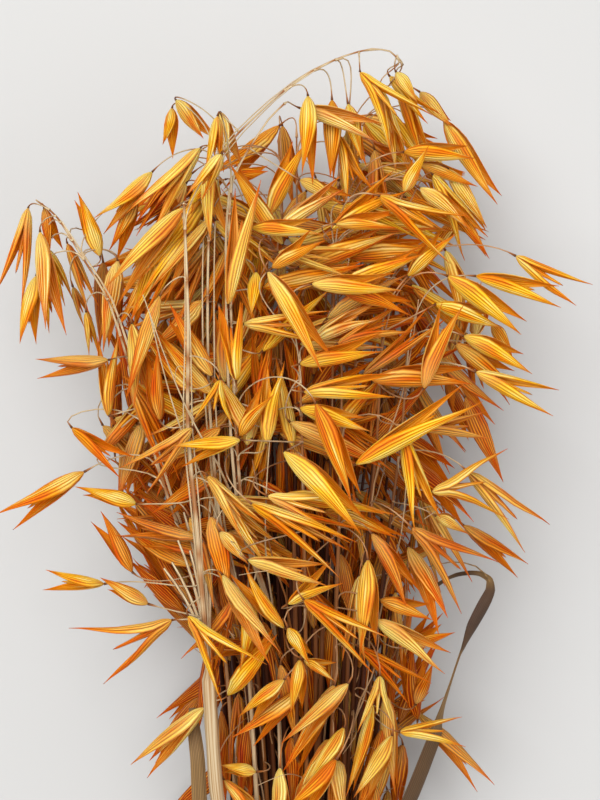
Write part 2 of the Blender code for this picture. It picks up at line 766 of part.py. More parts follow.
def blade(name, points, half_widths, rolls, collection):
    """A thin strip with a rectangular section that turns along its route."""
    shape = bmesh.new()
    square_rod(shape, len(points))
    frames = []
    across = np.array((1.0, 0, 0))
    for index in range(len(points)):
        tangent = unit(points[min(index + 1, len(points) - 1)] - points[max(index - 1, 0)])
        across = unit(across - tangent * np.dot(across, tangent))
        up = np.cross(tangent, across)
        roll = math.radians(rolls[index])
        frames.append((across * math.cos(roll) + up * math.sin(roll),
                       up * math.cos(roll) - across * math.sin(roll)))
    bmesh.ops.recalc_face_normals(shape, faces=shape.faces)
    for vert in shape.verts:
        index = int(round(vert.co.z))
        wide = math.copysign(half_widths[index], vert.co.x + vert.co.y)
        thick = math.copysign(LEAF_THICKNESS / 2, vert.co.y - vert.co.x)
        place = points[index] + frames[index][0] * wide + frames[index][1] * thick
        vert.co = Vector(place * MM)
    bmesh.ops.triangulate(shape, faces=shape.faces)
    mesh = bpy.data.meshes.new(name)
    shape.to_mesh(mesh)
    shape.free()
    new = bpy.data.objects.new(name, mesh)
    collection.objects.link(new)
    return new


def make_leaves(room, collection):
    """Leaves whose lower ends are held in the tie like the stems."""
    slots = hexagonal_slots(STEM_RINGS)
    for number, leaf in LEAVES.items():
        name = leaf["name"]
        place = slots[number][1]
        first = leaf["points"][0][1]
        low = [*LEAF_FOOT_Y, first - LEAF_LEAD]
        points = [slot_point(place, y, (0, 0)) for y in low]
        points += [seen(x, y, z) for x, y, z, _, _ in leaf["points"]]
        widths = [LEAF_FOOT] * len(low) + [half for _, _, _, half, _ in leaf["points"]]
        rolls = [0] * len(low) + [roll for _, _, _, _, roll in leaf["points"]]
        new = blade(name, points, widths, rolls, collection)
        give_material(new, leaf["colour"])
        room.add_object(name, "leaf", new)


def make_tie(collection, cutters):
    """A few turns of twine with a knot, cut flat where it lies on the surface."""
    tie = twine_turns(collection)
    knot = new_collection("knot_and_tails")
    make_knot(knot)
    fuse(tie, knot)
    floor = mesh_box("under_the_tie", (0, 0, -UNDER_THE_TIE[2] / 2), UNDER_THE_TIE, cutters)
    flat = tie.modifiers.new("flat_spot", "BOOLEAN")
    flat.operation = "DIFFERENCE"
    flat.object = floor
    bake_modifiers(tie)
    remove_collection(knot)
    give_material(tie, "twine")
    return tie


def twine_turns(collection):
    """The turns side by side, as one ring with a ridge for each."""
    half = TWINE_TURNS * TWINE_RADIUS
    groove = TWINE_INNER + TWINE_RADIUS * TWINE_GROOVE
    profile = [(TWINE_INNER, half), (TWINE_INNER, -half), (groove, -half)]
    for turn in range(TWINE_TURNS):
        middle = -half + TWINE_RADIUS * (2 * turn + 1)
        profile.append((TWINE_INNER + 2 * TWINE_RADIUS, middle))
        profile.append((groove, middle + TWINE_RADIUS))
    mesh = bpy.data.meshes.new("tie")
    edges = [(k, (k + 1) % len(profile)) for k in range(len(profile))]
    mesh.from_pydata([(x * MM, y * MM, 0) for x, y in profile], edges, [])
    tie = bpy.data.objects.new("tie", mesh)
    collection.objects.link(tie)
    tie.location = (0, 0, TIE_HEIGHT * MM)
    turned = tie.modifiers.new("turns", "SCREW")
    turned.axis = "Y"
    turned.steps = TWINE_STEPS
    turned.render_steps = TWINE_STEPS
    turned.use_merge_vertices = True
    turned.merge_threshold = WELD
    turned.use_normal_calculate = True
    return tie


def make_knot(collection):
    """A loop of twine on top of the turns, with two short tails."""
    height = TIE_HEIGHT + TWINE_INNER + 2 * TWINE_RADIUS + KNOT_LIFT
    bpy.ops.mesh.primitive_torus_add(
        major_radius=KNOT_RADIUS * MM, minor_radius=TWINE_RADIUS * MM, major_segments=10,
        minor_segments=6, location=(0, 0, height * MM), rotation=KNOT_TURN)
    knot = bpy.context.object
    knot.name = "knot"
    move_to(knot, collection)
    for side in (-1, 1):
        tail = []
        for step in range(TAIL_STEPS + 1):
            share = step / TAIL_STEPS
            arch = TAIL_ARCH * math.sin(math.pi * share) - TAIL_DROP * share
            reach = side * TAIL_LENGTH * share
            tail.append(np.array((reach, -reach * TAIL_SLANT - share, height + arch)))
        tube(f"tail_{side}", tail, [TWINE_RADIUS] * len(tail), collection, resolution=1)


def move_to(thing, collection):
    for other in list(thing.users_collection):
        other.objects.unlink(thing)
    collection.objects.link(thing)


def mesh_box(name, centre, size, cutters):
    bpy.ops.mesh.primitive_cube_add(size=1, location=[value * MM for value in centre])
    box = bpy.context.object
    box.name = name
    box.scale = [value * MM for value in size]
    move_to(box, cutters)
    box.hide_render = True
    box.display_type = "WIRE"
    return box


def bake_modifiers(thing):
    bpy.context.view_layer.update()
    graph = bpy.context.evaluated_depsgraph_get()
    baked = bpy.data.meshes.new_from_object(thing.evaluated_get(graph))
    thing.modifiers.clear()
    thing.data = baked
    largest_body(thing.data)


def main():
    clear_scene()
    collection = new_collection(NAME)
    cutters = new_collection("cutters")
    draw = random.Random(SEED)
    room = Room()
    template = spikelet_template()
    parts = split_faces(template)
    stems = make_stems(collection, room, draw)
    make_leaves(room, collection)
    tie = make_tie(collection, cutters)
    room.add_object("tie", "tie", tie)
    front_spikelets(template, parts, stems, room)
    for stem in stems:
        wanted = BACK_SPIKELETS if stem["is_back"] else LEAST_ON_A_STEM - stem["count"]
        ruled_spikelets(template, parts, stem, room, draw, wanted)
    for stem in stems:
        join_head(stem, template)
    for thing in collection.objects:
        thing.data.shade_smooth()
        thing.data.set_sharp_from_angle(angle=ROUND_ANGLE)
    faces = sum(len(thing.data.polygons) for thing in collection.objects)
    print(sum(stem["count"] for stem in stems), "spikelets,", faces, "triangles")


main()
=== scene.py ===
import random
from math import cos, pi, prod, radians, sin

import bmesh
import bpy
import numpy as np
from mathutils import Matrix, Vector
from mathutils.bvhtree import BVHTree
from numpy.linalg import norm


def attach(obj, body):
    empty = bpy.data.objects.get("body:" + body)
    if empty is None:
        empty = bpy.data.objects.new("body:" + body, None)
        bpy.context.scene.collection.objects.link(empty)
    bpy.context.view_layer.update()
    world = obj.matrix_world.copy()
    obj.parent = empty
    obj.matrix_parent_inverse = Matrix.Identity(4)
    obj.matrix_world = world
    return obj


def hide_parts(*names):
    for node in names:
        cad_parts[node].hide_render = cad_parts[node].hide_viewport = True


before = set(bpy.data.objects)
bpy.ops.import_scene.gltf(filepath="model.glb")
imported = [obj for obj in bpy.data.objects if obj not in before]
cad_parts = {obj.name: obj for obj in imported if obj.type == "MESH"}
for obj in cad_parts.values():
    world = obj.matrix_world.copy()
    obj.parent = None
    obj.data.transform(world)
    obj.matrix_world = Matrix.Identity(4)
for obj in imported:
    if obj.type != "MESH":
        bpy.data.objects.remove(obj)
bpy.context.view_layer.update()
mm = 0.001
print("frame loaded,", len(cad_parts), "nodes")


# small helpers

def at(x, y, z):
    return np.array((x, y, z), float)


def unit(vector):
    return vector / max(norm(vector), 1e-9)


def unitRows(rows):
    return rows / norm(rows, axis=1)[:, None]


def swing(one, other, turn):
    return one * cos(turn) + other * sin(turn)


def ramp(value, start, end):
    share = np.clip((value - start) / (end - start), 0, 1)
    return share * share * (3 - 2 * share)


def arc(start, pull, end, shares):
    return [start * (1 - t) ** 2 + pull * 2 * t * (1 - t) + end * t * t for t in shares]


def hexColour(text):
    values = [int(text[place:place + 2], 16) / 255 for place in (1, 3, 5)]
    linear = [v / 12.92 if v <= 0.04045 else ((v + 0.055) / 1.055) ** 2.4 for v in values]
    return (*linear, 1)


def setNode(node, settings, links):
    # both go by the name or number of a socket, a setting by a property's name as well
    for name, value in settings.items():
        if isinstance(value, str) and value[0] == "#":
            value = hexColour(value)
        if isinstance(name, int) or name in node.inputs:
            node.inputs[name].default_value = value
        else:
            setattr(node, name, value)
    for name, source in links.items():
        node.id_data.links.new(source, node.inputs[name])


def newMaterial(name):
    # the material, the function that adds a node to it, and its shader
    made = bpy.data.materials.new(name)
    made.use_nodes = True
    nodes = made.node_tree.nodes

    def add(kind, settings={}, links={}, output=0):
        node = nodes.new("ShaderNode" + kind)
        setNode(node, settings, links)
        return node.outputs[output]

    return made, add, nodes["Principled BSDF"]


def startEdit(select=None):
    bpy.ops.object.mode_set(mode="EDIT")
    if select:
        bpy.ops.mesh.select_all(action=select)


def endEdit():
    bpy.ops.object.mode_set(mode="OBJECT")


def deselectAll():
    if bpy.context.object and bpy.context.object.mode != "OBJECT":
        endEdit()
    bpy.ops.object.select_all(action="DESELECT")


def pick(*things):
    deselectAll()
    for thing in things:
        thing.select_set(True)
    bpy.context.view_layer.objects.active = things[0]


def joinAll(things, name):
    pick(*things)
    bpy.ops.object.join()
    things[0].name = name
    return things[0]


def selectVerts(thing, wanted):
    # in edit mode: only the vertices with these numbers
    shape = bmesh.from_edit_mesh(thing.data)
    shape.verts.ensure_lookup_table()
    chosen = set(wanted)
    for vert in shape.verts:
        vert.select = vert.index in chosen
    shape.select_flush_mode()
    bmesh.update_edit_mesh(thing.data)


def move(*way):
    bpy.ops.transform.translate(value=way)


def faceOutwards():
    # the last step in edit mode
    bpy.ops.mesh.select_all(action="SELECT")
    bpy.ops.mesh.normals_make_consistent(inside=False)
    endEdit()


def smoothFaces():
    bpy.ops.object.shade_smooth_by_angle(angle=radians(60))


def giveSkin(thing, thickness, offset):
    skin = thing.modifiers.new("skin", "SOLIDIFY")
    skin.thickness, skin.offset = thickness, offset
    bpy.ops.object.modifier_apply(modifier="skin")


def vertPlaces(mesh):
    points = np.zeros(len(mesh.vertices) * 3, np.float32)
    mesh.vertices.foreach_get("co", points)
    return points.reshape(-1, 3)


def setAttribute(mesh, name, value):
    layer = mesh.attributes.get(name) or mesh.attributes.new(name, "FLOAT", "POINT")
    layer.data.foreach_set("value", np.full(len(mesh.vertices), value, np.float32))


# camera straight above the heads, as the photograph looks at them: its height, its place
# along the bundle and the height of the middle husks, in mm

eye = {"height": 434, "y": 230, "husks": 45, "lens": 70}
bpy.ops.object.camera_add(location=(0, eye["y"] * mm, eye["height"] * mm), rotation=(0, 0, 0))
camera = bpy.context.object
camera.data.lens = eye["lens"]
camera.data.sensor_width = 36
camera.data.clip_start = 0.01
bpy.context.scene.camera = camera

studio = {
    "floorColour": "#BEBFBF", "worldColour": "#FFEBCE", "worldStrength": 0.17, "aim": (0, 0.2, 0.03),
    "key": {"place": (-0.28, 0.52, 1.2), "size": 1.1, "power": 24.6, "colour": "#FFFFFF"},
    "fill": {"place": (0.7, -0.1, 0.9), "size": 1.1, "power": 5.2, "colour": "#FAFBFF"},
}
# the plain transform keeps the gold of the husks as strong as it is by daylight
bpy.context.scene.view_settings.view_transform = "Standard"
bpy.ops.mesh.primitive_plane_add(size=6, location=(0, 0.1, 0))
floor = bpy.context.object
floor.name = "floor"
paint, _, paintShader = newMaterial("matt white paint on board")
setNode(paintShader, {"Base Color": studio["floorColour"], "Roughness": 0.9}, {})
floor.data.materials.append(paint)
world = bpy.data.worlds.new("studio")
world.use_nodes = True
setNode(world.node_tree.nodes["Background"], {0: studio["worldColour"], 1: studio["worldStrength"]}, {})
bpy.context.scene.world = world
for name in ("key", "fill"):
    light = studio[name]
    bpy.ops.object.light_add(type="AREA", location=light["place"])
    lamp = bpy.context.object
    lamp.name = name
    lamp.data.size = light["size"]
    lamp.data.energy = light["power"]
    lamp.data.color = hexColour(light["colour"])[:3]
    lamp.rotation_euler = (Vector(studio["aim"]) - Vector(light["place"])).to_track_quat("-Z", "Y").to_euler()
print("camera, floor and lights")


# materials

rgba = {"data_type": "RGBA"}
times = {"operation": "MULTIPLY"}
smooth = {"interpolation_type": "SMOOTHSTEP"}


def makeHusk():
    # Dried oat glume, a grown papery husk. Pale ribs stand up along it and the furrows
    # between them are amber; it is satin, paler at its foot and burnt orange at its tip.
    look = {
        "gold": "#FDB004", "amber": "#E87C02", "umber": "#9E3601",
        "ribGold": "#FFD04E", "ribAmber": "#F29218", "furrowGold": "#A84C02", "furrowAmber": "#782601",
        "dull": "#D4AC5E", "cream": "#FCE6A6", "foot": "#FCDA7E", "edge": "#AE4804",
        "tip": "#D85204", "lining": "#D46E04", "faded": "#FCD666", "flush": "#EA921C",
        "ribs": 7, "ribHeight": 0.00025,  # furrows 0.9 mm apart, 0.25 mm deep
        "mottle": 260, "streaks": (22, 2.2, 1),
        "patches": (2.6, 1.7, 1),  # a husk is pale on one flank and orange on the other
    }
    made, add, shader = newMaterial("dried oat husk, ribbed")
    uv = add("TexCoord", output="UV")
    across = add("SeparateXYZ", links={0: uv})
    along = across.node.outputs[1]
    place = {"Vector": add("TexCoord", output="Object")}
    tone, pale, dull, inside = (
        add("Attribute", {"attribute_name": name}, output="Fac") for name in ("tone", "pale", "dull", "inside"))
    mottle = add("TexNoise", {"Scale": look["mottle"], "Detail": 3}, place)
    # other streaks and patches on each husk
    another = add("Math", {**times, 1: 37}, {0: tone})
    streak, patch = (
        add("TexNoise", {"noise_dimensions": "4D", "Scale": 1, "Detail": detail},
            {"Vector": add("Mapping", {"Scale": look[name]}, {"Vector": uv}), "W": another})
        for name, detail in (("streaks", 2), ("patches", 1)))
    turn = add("Math", {"operation": "MULTIPLY_ADD", 1: look["ribs"] * 2 * pi, 2: -pi / 2}, {0: across})
    wave = add("Math", {"operation": "SINE"}, {0: turn})
    offMiddle = add("Math", {"operation": "SUBTRACT", 1: 0.5}, {0: across})
    offMiddle = add("Math", {"operation": "ABSOLUTE"}, {0: offMiddle})
    share = {}
    # tone is each husk's own colour plus painted shade: husks deep in the bundle turn amber and umber
    for name, source, low, high, least, most in (
            ("ribs", wave, -0.9, 0.75, 0, 1), ("crestLine", wave, 0, 0.95, 0, 0.9),
            ("furrowLine", wave, -0.2, -0.95, 0, 0.95),
            ("amber", tone, 0.05, 0.6, 0, 1), ("umber", tone, 0.5, 1, 0, 1),
            ("ribAmber", tone, 0, 0.7, 0, 1), ("furrowAmber", tone, 0.1, 0.7, 0, 1),
            ("crest", streak, 0.35, 0.62, 0.15, 1), ("furrow", streak, 0.6, 0.32, 0.5, 1),
            ("flush", patch, 0.5, 0.66, 0, 0.75), ("faded", patch, 0.5, 0.34, 0, 0.75),
            ("fresh", tone, 0.8, 0.3, 0.15, 1), ("mottle", mottle, 0.5, 0.85, 0, 0.35),
            ("edge", offMiddle, 0.44, 0.5, 0, 0.4), ("foot", along, 0.5, 0, 0, 0.62),
            ("tip", along, 0.68, 1, 0, 0.74), ("lining", inside, 0.3, 0.7, 0, 0.6),
            ("creamCrest", pale, 0.45, 0.85, 0, 0.95)):
        limits = {"From Min": low, "From Max": high, "To Min": least, "To Max": most}
        share[name] = add("MapRange", {**smooth, **limits}, {"Value": source})
    for name, other in (("foot", pale), ("faded", share["fresh"])):
        share[name] = add("Math", times, {0: share[name], 1: other})
    share["dull"] = add("Math", {**times, 1: 0.7}, {0: dull})
    body, crest, furrow = (
        add("Mix", {**rgba, 6: look[light], 7: look[deep]}, {0: share[deep]}, 2)
        for light, deep in (("gold", "amber"), ("ribGold", "ribAmber"), ("furrowGold", "furrowAmber")))
    for part in ("umber", "dull", "faded"):
        body = add("Mix", {**rgba, 7: look[part]}, {0: share[part], 6: body}, 2)
    for part in ("creamCrest", "faded"):
        crest = add("Mix", {**rgba, 7: look["cream"]}, {0: share[part], 6: crest}, 2)
    colour = body
    for part, line, over in (("crest", "crestLine", crest), ("furrow", "furrowLine", furrow)):
        amount = add("Math", times, {0: share[part], 1: share[line]})
        colour = add("Mix", rgba, {0: amount, 6: colour, 7: over}, 2)
    colour = add("Mix", rgba, {0: share["mottle"], 6: colour, 7: body}, 2)
    for part in ("flush", "foot", "edge", "tip", "lining"):
        blend = "MULTIPLY" if part == "flush" else "MIX"
        colour = add("Mix", {**rgba, "blend_type": blend, 7: look[part]}, {0: share[part], 6: colour}, 2)
    height = add("Math", {"operation": "MULTIPLY_ADD", 1: 0.6}, {0: streak, 2: share["ribs"]})
    bump = add("Bump", {"Strength": 0.7, "Distance": look["ribHeight"]}, {"Height": height})
    rough = add("MapRange", {"To Min": 0.36, "To Max": 0.58}, {"Value": mottle})
    # thin enough for light to pass through
    setNode(shader, {
        "IOR": 1.45, "Specular IOR Level": 0.1, "Subsurface Weight": 0.4,
        "Subsurface Radius": (1, 0.5, 0.12), "Subsurface Scale": 0.0012,
    }, {"Base Color": colour, "Normal": bump, "Roughness": rough})
    return made


def ringPlace(add, look):
    # UV runs 0 to 1 along a stem and 0 to 1 round it; the round goes on a ring, so no seam shows
    along = add("SeparateXYZ", links={0: add("TexCoord", output="UV")})
    turn = add("Math", {**times, 1: 2 * pi}, {0: along.node.outputs[1]})
    ring = {0: add("Math", {**times, 1: look["alongFibres"]}, {0: along})}
    for socket, operation in ((1, "SINE"), (2, "COSINE")):
        side = add("Math", {"operation": operation}, {0: turn})
        ring[socket] = add("Math", {**times, 1: look["fibres"]}, {0: side})
    return add("CombineXYZ", links=ring)


def makeStraw():
    # Dried oat straw, a grown hollow stem. Fibres run along it; it is pale beige
    # with tan streaks, brown in its knots, and a little shiny. Painted shade makes it brown to near black
    # inside the bundle and low down.
    look = {
        "pale": "#D9CEAC", "tan": "#96703A", "amber": "#A85A0C", "knotAndShadeBrown": "#8E5018", "dark": "#3A1404",
        "fibres": 4, "alongFibres": 9, "patch": 45, "fibreDepth": 0.0001,
    }
    made, add, shader = newMaterial("dried oat straw, fibrous")
    tone, shade = (add("Attribute", {"attribute_name": name}, output="Fac") for name in ("tone", "shade"))
    another = add("Math", {**times, 1: 51}, {0: tone})
    fibre = add("TexNoise", {"noise_dimensions": "4D", "Scale": 1, "Detail": 1},
        {"Vector": ringPlace(add, look), "W": another})
    place = {"Vector": add("TexCoord", output="Object")}
    patch = add("TexNoise", {"Scale": look["patch"], "Detail": 2}, place)
    lines = add("MapRange", {"From Min": 0.38, "From Max": 0.66}, {"Value": fibre})
    warm = add("Math", times, {0: patch, 1: tone})
    share = {"amber": add("Math", {**times, "use_clamp": True, 1: 1.7}, {0: warm})}
    # shade darkens the straw to brown and then near black: painted shade deep in the bundle, low down and on
    # inner stems, and the real dark where stalks leave the stem
    for name, low, high, most in (("knotAndShadeBrown", 0, 0.55, 0.9), ("dark", 0.45, 1, 0.95)):
        limits = {"From Min": low, "From Max": high, "To Max": most}
        share[name] = add("MapRange", {**smooth, **limits}, {"Value": shade})
    colour = add("Mix", {**rgba, 6: look["pale"], 7: look["tan"]}, {0: lines}, 2)
    for name, amount in share.items():
        colour = add("Mix", {**rgba, 7: look[name]}, {0: amount, 6: colour}, 2)
    bump = add("Bump", {"Strength": 0.5, "Distance": look["fibreDepth"]}, {"Height": fibre})
    setNode(shader, {"Roughness": 0.55, "IOR": 1.45, "Specular IOR Level": 0.2},
        {"Base Color": colour, "Normal": bump})
    return made


def makeLeaf():
    # Dried oat leaf, a grown blade gone brown. Parallel veins run along it, and it is
    # worn pale in places; it is matt.
    look = {
        "brown": "#5E3C1A", "dark": "#341E0E", "pale": "#A07C48",
        "veins": 9, "veinDepth": 0.00015, "patch": 160, "streaks": (26, 5, 1),
    }
    made, add, shader = newMaterial("dried oat leaf, veined")
    uv = add("TexCoord", output="UV")
    pale = add("Attribute", {"attribute_name": "pale"}, output="Fac")
    place = {"Vector": add("TexCoord", output="Object")}
    patch = add("TexNoise", {"Scale": look["patch"], "Detail": 4}, place)
    drawnOut = add("Mapping", {"Scale": look["streaks"]}, {"Vector": uv})
    streak = add("TexNoise", {"Scale": 1, "Detail": 2}, {"Vector": drawnOut})
    turn = add("Math", {**times, 1: look["veins"] * 2 * pi}, {0: add("SeparateXYZ", links={0: uv})})
    wave = add("Math", {"operation": "SINE"}, {0: turn})
    veins = add("MapRange", {"From Min": -1}, {"Value": wave})
    worn = add("Math", {**times, "use_clamp": True}, {0: pale, 1: streak})
    worn = add("Math", {**times, "use_clamp": True, 1: 1.7}, {0: worn})
    colour = add("Mix", {**rgba, 6: look["brown"], 7: look["dark"]}, {0: patch}, 2)
    colour = add("Mix", {**rgba, 7: look["pale"]}, {0: worn, 6: colour}, 2)
    colour = add("Mix", {**rgba, "blend_type": "MULTIPLY", 0: 0.45}, {6: colour, 7: veins}, 2)
    bump = add("Bump", {"Strength": 0.6, "Distance": look["veinDepth"]}, {"Height": veins})
    setNode(shader, {"Roughness": 0.62}, {"Base Color": colour, "Normal": bump})
    return made


def makeTwine():
    # Jute twine, spun from rough plant fibre: tan and matt. Fibres run along each strand.
    look = {"tan": "#B8935C", "dark": "#6E4E2A", "fibres": 3, "alongFibres": 160, "fibreDepth": 0.0002}
    made, add, shader = newMaterial("jute twine, spun")
    fibre = add("TexNoise", {"Scale": 1, "Detail": 4}, {"Vector": ringPlace(add, look)})
    colour = add("Mix", {**rgba, 6: look["dark"], 7: look["tan"]}, {0: fibre}, 2)
    bump = add("Bump", {"Strength": 0.9, "Distance": look["fibreDepth"]}, {"Height": fibre})
    setNode(shader, {"Roughness": 0.9, "Sheen Weight": 0.3}, {"Base Color": colour, "Normal": bump})
    return made


huskMaterial, strawMaterial, leafMaterial, twineMaterial = makeHusk(), makeStraw(), makeLeaf(), makeTwine()
print("materials")


# one glume: a flat grid, arched across and drawn in row by row to a boat with a long tip.
# The front husks get a fine one with raised ribs, all others a light one of few faces.

glume = {
    "length": 25 * mm, "halfWidth": 3.3 * mm, "depth": 1.9 * mm, "skin": 0.16 * mm,
    "ribRise": 0.13 * mm, "arch": 0.8,
    "fine": {"columns": 14, "along": (0, 0.03, 0.09, 0.18, 0.29, 0.42, 0.55, 0.68, 0.8, 0.9, 1)},
    "light": {"columns": 4, "along": (0, 0.06, 0.18, 0.36, 0.56, 0.76, 0.9, 1)},
    "profile": (0, 0.04, 0.1, 0.2, 0.3, 0.42, 0.55, 0.68, 0.8, 0.9, 1),
    "depths": (0.08, 0.5, 0.8, 1, 1, 0.94, 0.8, 0.6, 0.36, 0.17, 0.03),
    "kinds": {
        "broad": {"widths": (0.1, 0.36, 0.62, 0.9, 1, 0.93, 0.76, 0.54, 0.33, 0.15, 0.015),
            "curl": 0, "turn": 0},
        "slim": {"widths": (0.1, 0.28, 0.47, 0.7, 0.8, 0.76, 0.62, 0.44, 0.27, 0.12, 0.015),
            "curl": 0.6, "turn": 10},
        "twisted": {"widths": (0.1, 0.34, 0.58, 0.84, 0.91, 0.82, 0.64, 0.43, 0.25, 0.11, 0.015),
            "curl": -0.7, "turn": 32},
        "hooked": {"widths": (0.1, 0.36, 0.64, 0.9, 0.96, 0.86, 0.67, 0.46, 0.27, 0.12, 0.015),
            "curl": 1.7, "turn": -16},
        # its tip has torn off into a fringe
        "torn": {"widths": (0.1, 0.34, 0.6, 0.88, 0.97, 0.92, 0.76, 0.57, 0.42, 0.31, 0.26),
            "curl": 0.4, "turn": 8, "fringe": 2.3},
        # dried up round its floret, with a neck
        "bulb": {"widths": (0.3, 0.72, 0.95, 1, 0.8, 0.56, 0.5, 0.53, 0.44, 0.24, 0.04),
            "curl": -1.2, "turn": 50},
    },
}


def modelGlume(kind, grade):
    shape, columns, rowPlaces = glume["kinds"][kind], glume[grade]["columns"], glume[grade]["along"]
    rows = len(rowPlaces) - 1
    deselectAll()
    bpy.ops.mesh.primitive_grid_add(x_subdivisions=columns, y_subdivisions=rows, size=2)
    made = bpy.context.object
    column = [round((vert.co.x + 1) / 2 * columns) for vert in made.data.vertices]
    row = [round((vert.co.y + 1) / 2 * rows) for vert in made.data.vertices]
    startEdit()
    for number in range(columns + 1):
        across = 2 * number / columns - 1
        rise = (1 - across * across) ** glume["arch"]
        if grade == "fine" and number % 2:
            rise += glume["ribRise"] / glume["depth"]
        selectVerts(made, [i for i, k in enumerate(column) if k == number])
        move(0, 0, rise)
    for number, along in enumerate(rowPlaces):
        selectVerts(made, [i for i, k in enumerate(row) if k == number])
        wide = np.interp(along, glume["profile"], shape["widths"]) * glume["halfWidth"]
        deep = np.interp(along, glume["profile"], glume["depths"]) * glume["depth"]
        place = (0, along * glume["length"], 0)
        move(0, place[1] - (2 * number / rows - 1), 0)
        bpy.ops.transform.resize(value=(wide, 1, deep), center_override=place)
        turn = radians(shape["turn"]) * ramp(along, 0.35, 1)
        if abs(turn) > 0.001:
            bpy.ops.transform.rotate(value=turn, orient_axis="Y", center_override=place)
        move(0, 0, shape["curl"] * mm * ramp(along, 0.5, 1))
    for number in range(columns + 1 if "fringe" in shape else 0):
        selectVerts(made, [i for i, k in enumerate(column) if k == number and row[i] == rows])
        move(0, -shape["fringe"] * mm * abs(sin(2.4 * number)), 0)
    endEdit()
    outer, uvs = len(made.data.vertices), made.data.uv_layers.active.data
    for corner in made.data.loops:
        index = corner.vertex_index
        uvs[corner.index].uv = (column[index] / columns, rowPlaces[row[index]])
    giveSkin(made, glume["skin"], -1)
    smoothFaces()
    setAttribute(made.data, "inside", np.arange(len(made.data.vertices)) >= outer)
    made.data.materials.append(huskMaterial)
    return made


# the floret between the glumes: a drawn-out sphere with a thin point

floret = {
    "length": 15 * mm, "halfWidth": 1.25 * mm, "start": 2 * mm, "flat": 0.85,
    "pointFrom": 0.6, "point": 0.55, "pointPull": 0.8 * mm,
}


def modelFloret():
    wide, length, zero = floret["halfWidth"], floret["length"], (0, 0, 0)
    deselectAll()
    bpy.ops.mesh.primitive_uv_sphere_add(segments=6, ring_count=5, radius=1)
    made = bpy.context.object
    startEdit("SELECT")
    bpy.ops.transform.rotate(value=pi / 2, orient_axis="X", center_override=zero)
    bpy.ops.transform.resize(value=(wide, length / 2, wide * floret["flat"]), center_override=zero)
    move(0, floret["start"] + length / 2, 0)
    endEdit()
    middle = floret["start"] + length * floret["pointFrom"]
    far = [vert.index for vert in made.data.vertices if vert.co.y > middle]
    startEdit()
    selectVerts(made, far)
    bpy.ops.transform.resize(value=(floret["point"], 1, floret["point"]), center_override=(0, middle, 0))
    move(0, floret["pointPull"], 0)
    faceOutwards()
    bpy.ops.object.shade_smooth()
    setAttribute(made.data, "inside", 0.4)
    made.data.materials.append(huskMaterial)
    return made


def modelSpikelet(upper, lower, grade):
    first, second, kernel = modelGlume(upper, grade), modelGlume(lower, grade), modelFloret()
    pick(second)
    startEdit("SELECT")
    bpy.ops.transform.rotate(value=pi, orient_axis="Y", center_override=(0, 0, 0))
    endEdit()
    for part, side in ((first, 1), (second, -1), (kernel, 0)):
        setAttribute(part.data, "side", side)
    made = joinAll([first, second, kernel], "pattern_" + grade + "_" + upper)
    mesh = made.data
    side = np.zeros(len(mesh.vertices), np.float32)
    mesh.attributes["side"].data.foreach_get("value", side)
    mesh.attributes.remove(mesh.attributes["side"])
    for name in ("tone", "pale", "dull"):
        setAttribute(mesh, name, 0)
    return {"object": made, "points": vertPlaces(mesh).astype(float), "side": side.astype(float)}


pairs = (("broad", "broad"), ("broad", "slim"), ("slim", "hooked"), ("twisted", "broad"),
    ("hooked", "twisted"), ("slim", "slim"), ("torn", "slim"), ("bulb", "torn"))
pairShares = (5, 5, 4, 4, 3, 4, 1.5, 0.3)
patterns = {grade: [modelSpikelet(*pair, grade) for pair in pairs] for grade in ("fine", "light")}
for grade, made in patterns.items():
    print(grade, "pattern:", len(made[0]["object"].data.polygons), "faces a spikelet")


# where each spikelet of a head lies: its two tips, its foot and its stalk, from the CAD head

def readSpikelets(node):
    shape = bmesh.new()
    shape.from_mesh(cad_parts[node].data)
    bmesh.ops.remove_doubles(shape, verts=shape.verts, dist=2e-6)

    def nextRing(ring, seen):
        return {edge.other_vert(vert) for vert in ring for edge in vert.link_edges} - seen

    # a tip is a corner of three long edges that lie close together
    prongs = []
    for vert in shape.verts:
        ring = [edge.other_vert(vert) for edge in vert.link_edges]
        arms = [other.co - vert.co for other in ring]
        if (len(arms) == 3 and min(arm.length for arm in arms) > 3 * mm
                and max(arms[k - 1].angle(arms[k]) for k in range(3)) < 1.2):
            prongs.append((vert, set(ring), nextRing(ring, {vert, *ring})))
    found, taken = [], set()
    for number, (first, ring, far) in enumerate(prongs):
        for second, otherRing, otherFar in prongs[number + 1:]:
            shared = far & otherFar
            if len(shared) < 2 or first in taken or second in taken:
                continue
            taken.update((first, second))
            seen, front, centres = {first, second} | ring | otherRing, far | otherFar, []
            edges = [np.array(vert.co) for vert in shared]
            for _ in range(3):
                seen |= front
                front = nextRing(front, seen)
                if len(front) != 4:
                    break
                centres.append(sum(np.array(vert.co) for vert in front) / 4)
            base, tips = centres[0], [np.array(first.co), np.array(second.co)]
            reach, gape = (tips[0] + tips[1]) / 2 - base, tips[0] - tips[1]
            found.append(dict(
                base=base, direction=unit(reach), length=norm(reach), opening=unit(gape), gape=norm(gape),
                width=max(norm(edges[0] - edges[-1]), 3 * mm) * 0.86, stalk=centres[:0:-1], front=True))
    shape.free()
    return found


headNames = sorted(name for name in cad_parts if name.startswith("head_"))
heads = {name: {"spikelets": readSpikelets(name)} for name in headNames}
print("read", sum(len(head["spikelets"]) for head in heads.values()), "spikelets")


# stems: the same fan of routes from the tie as in the CAD, in mm, drawn with the same seed

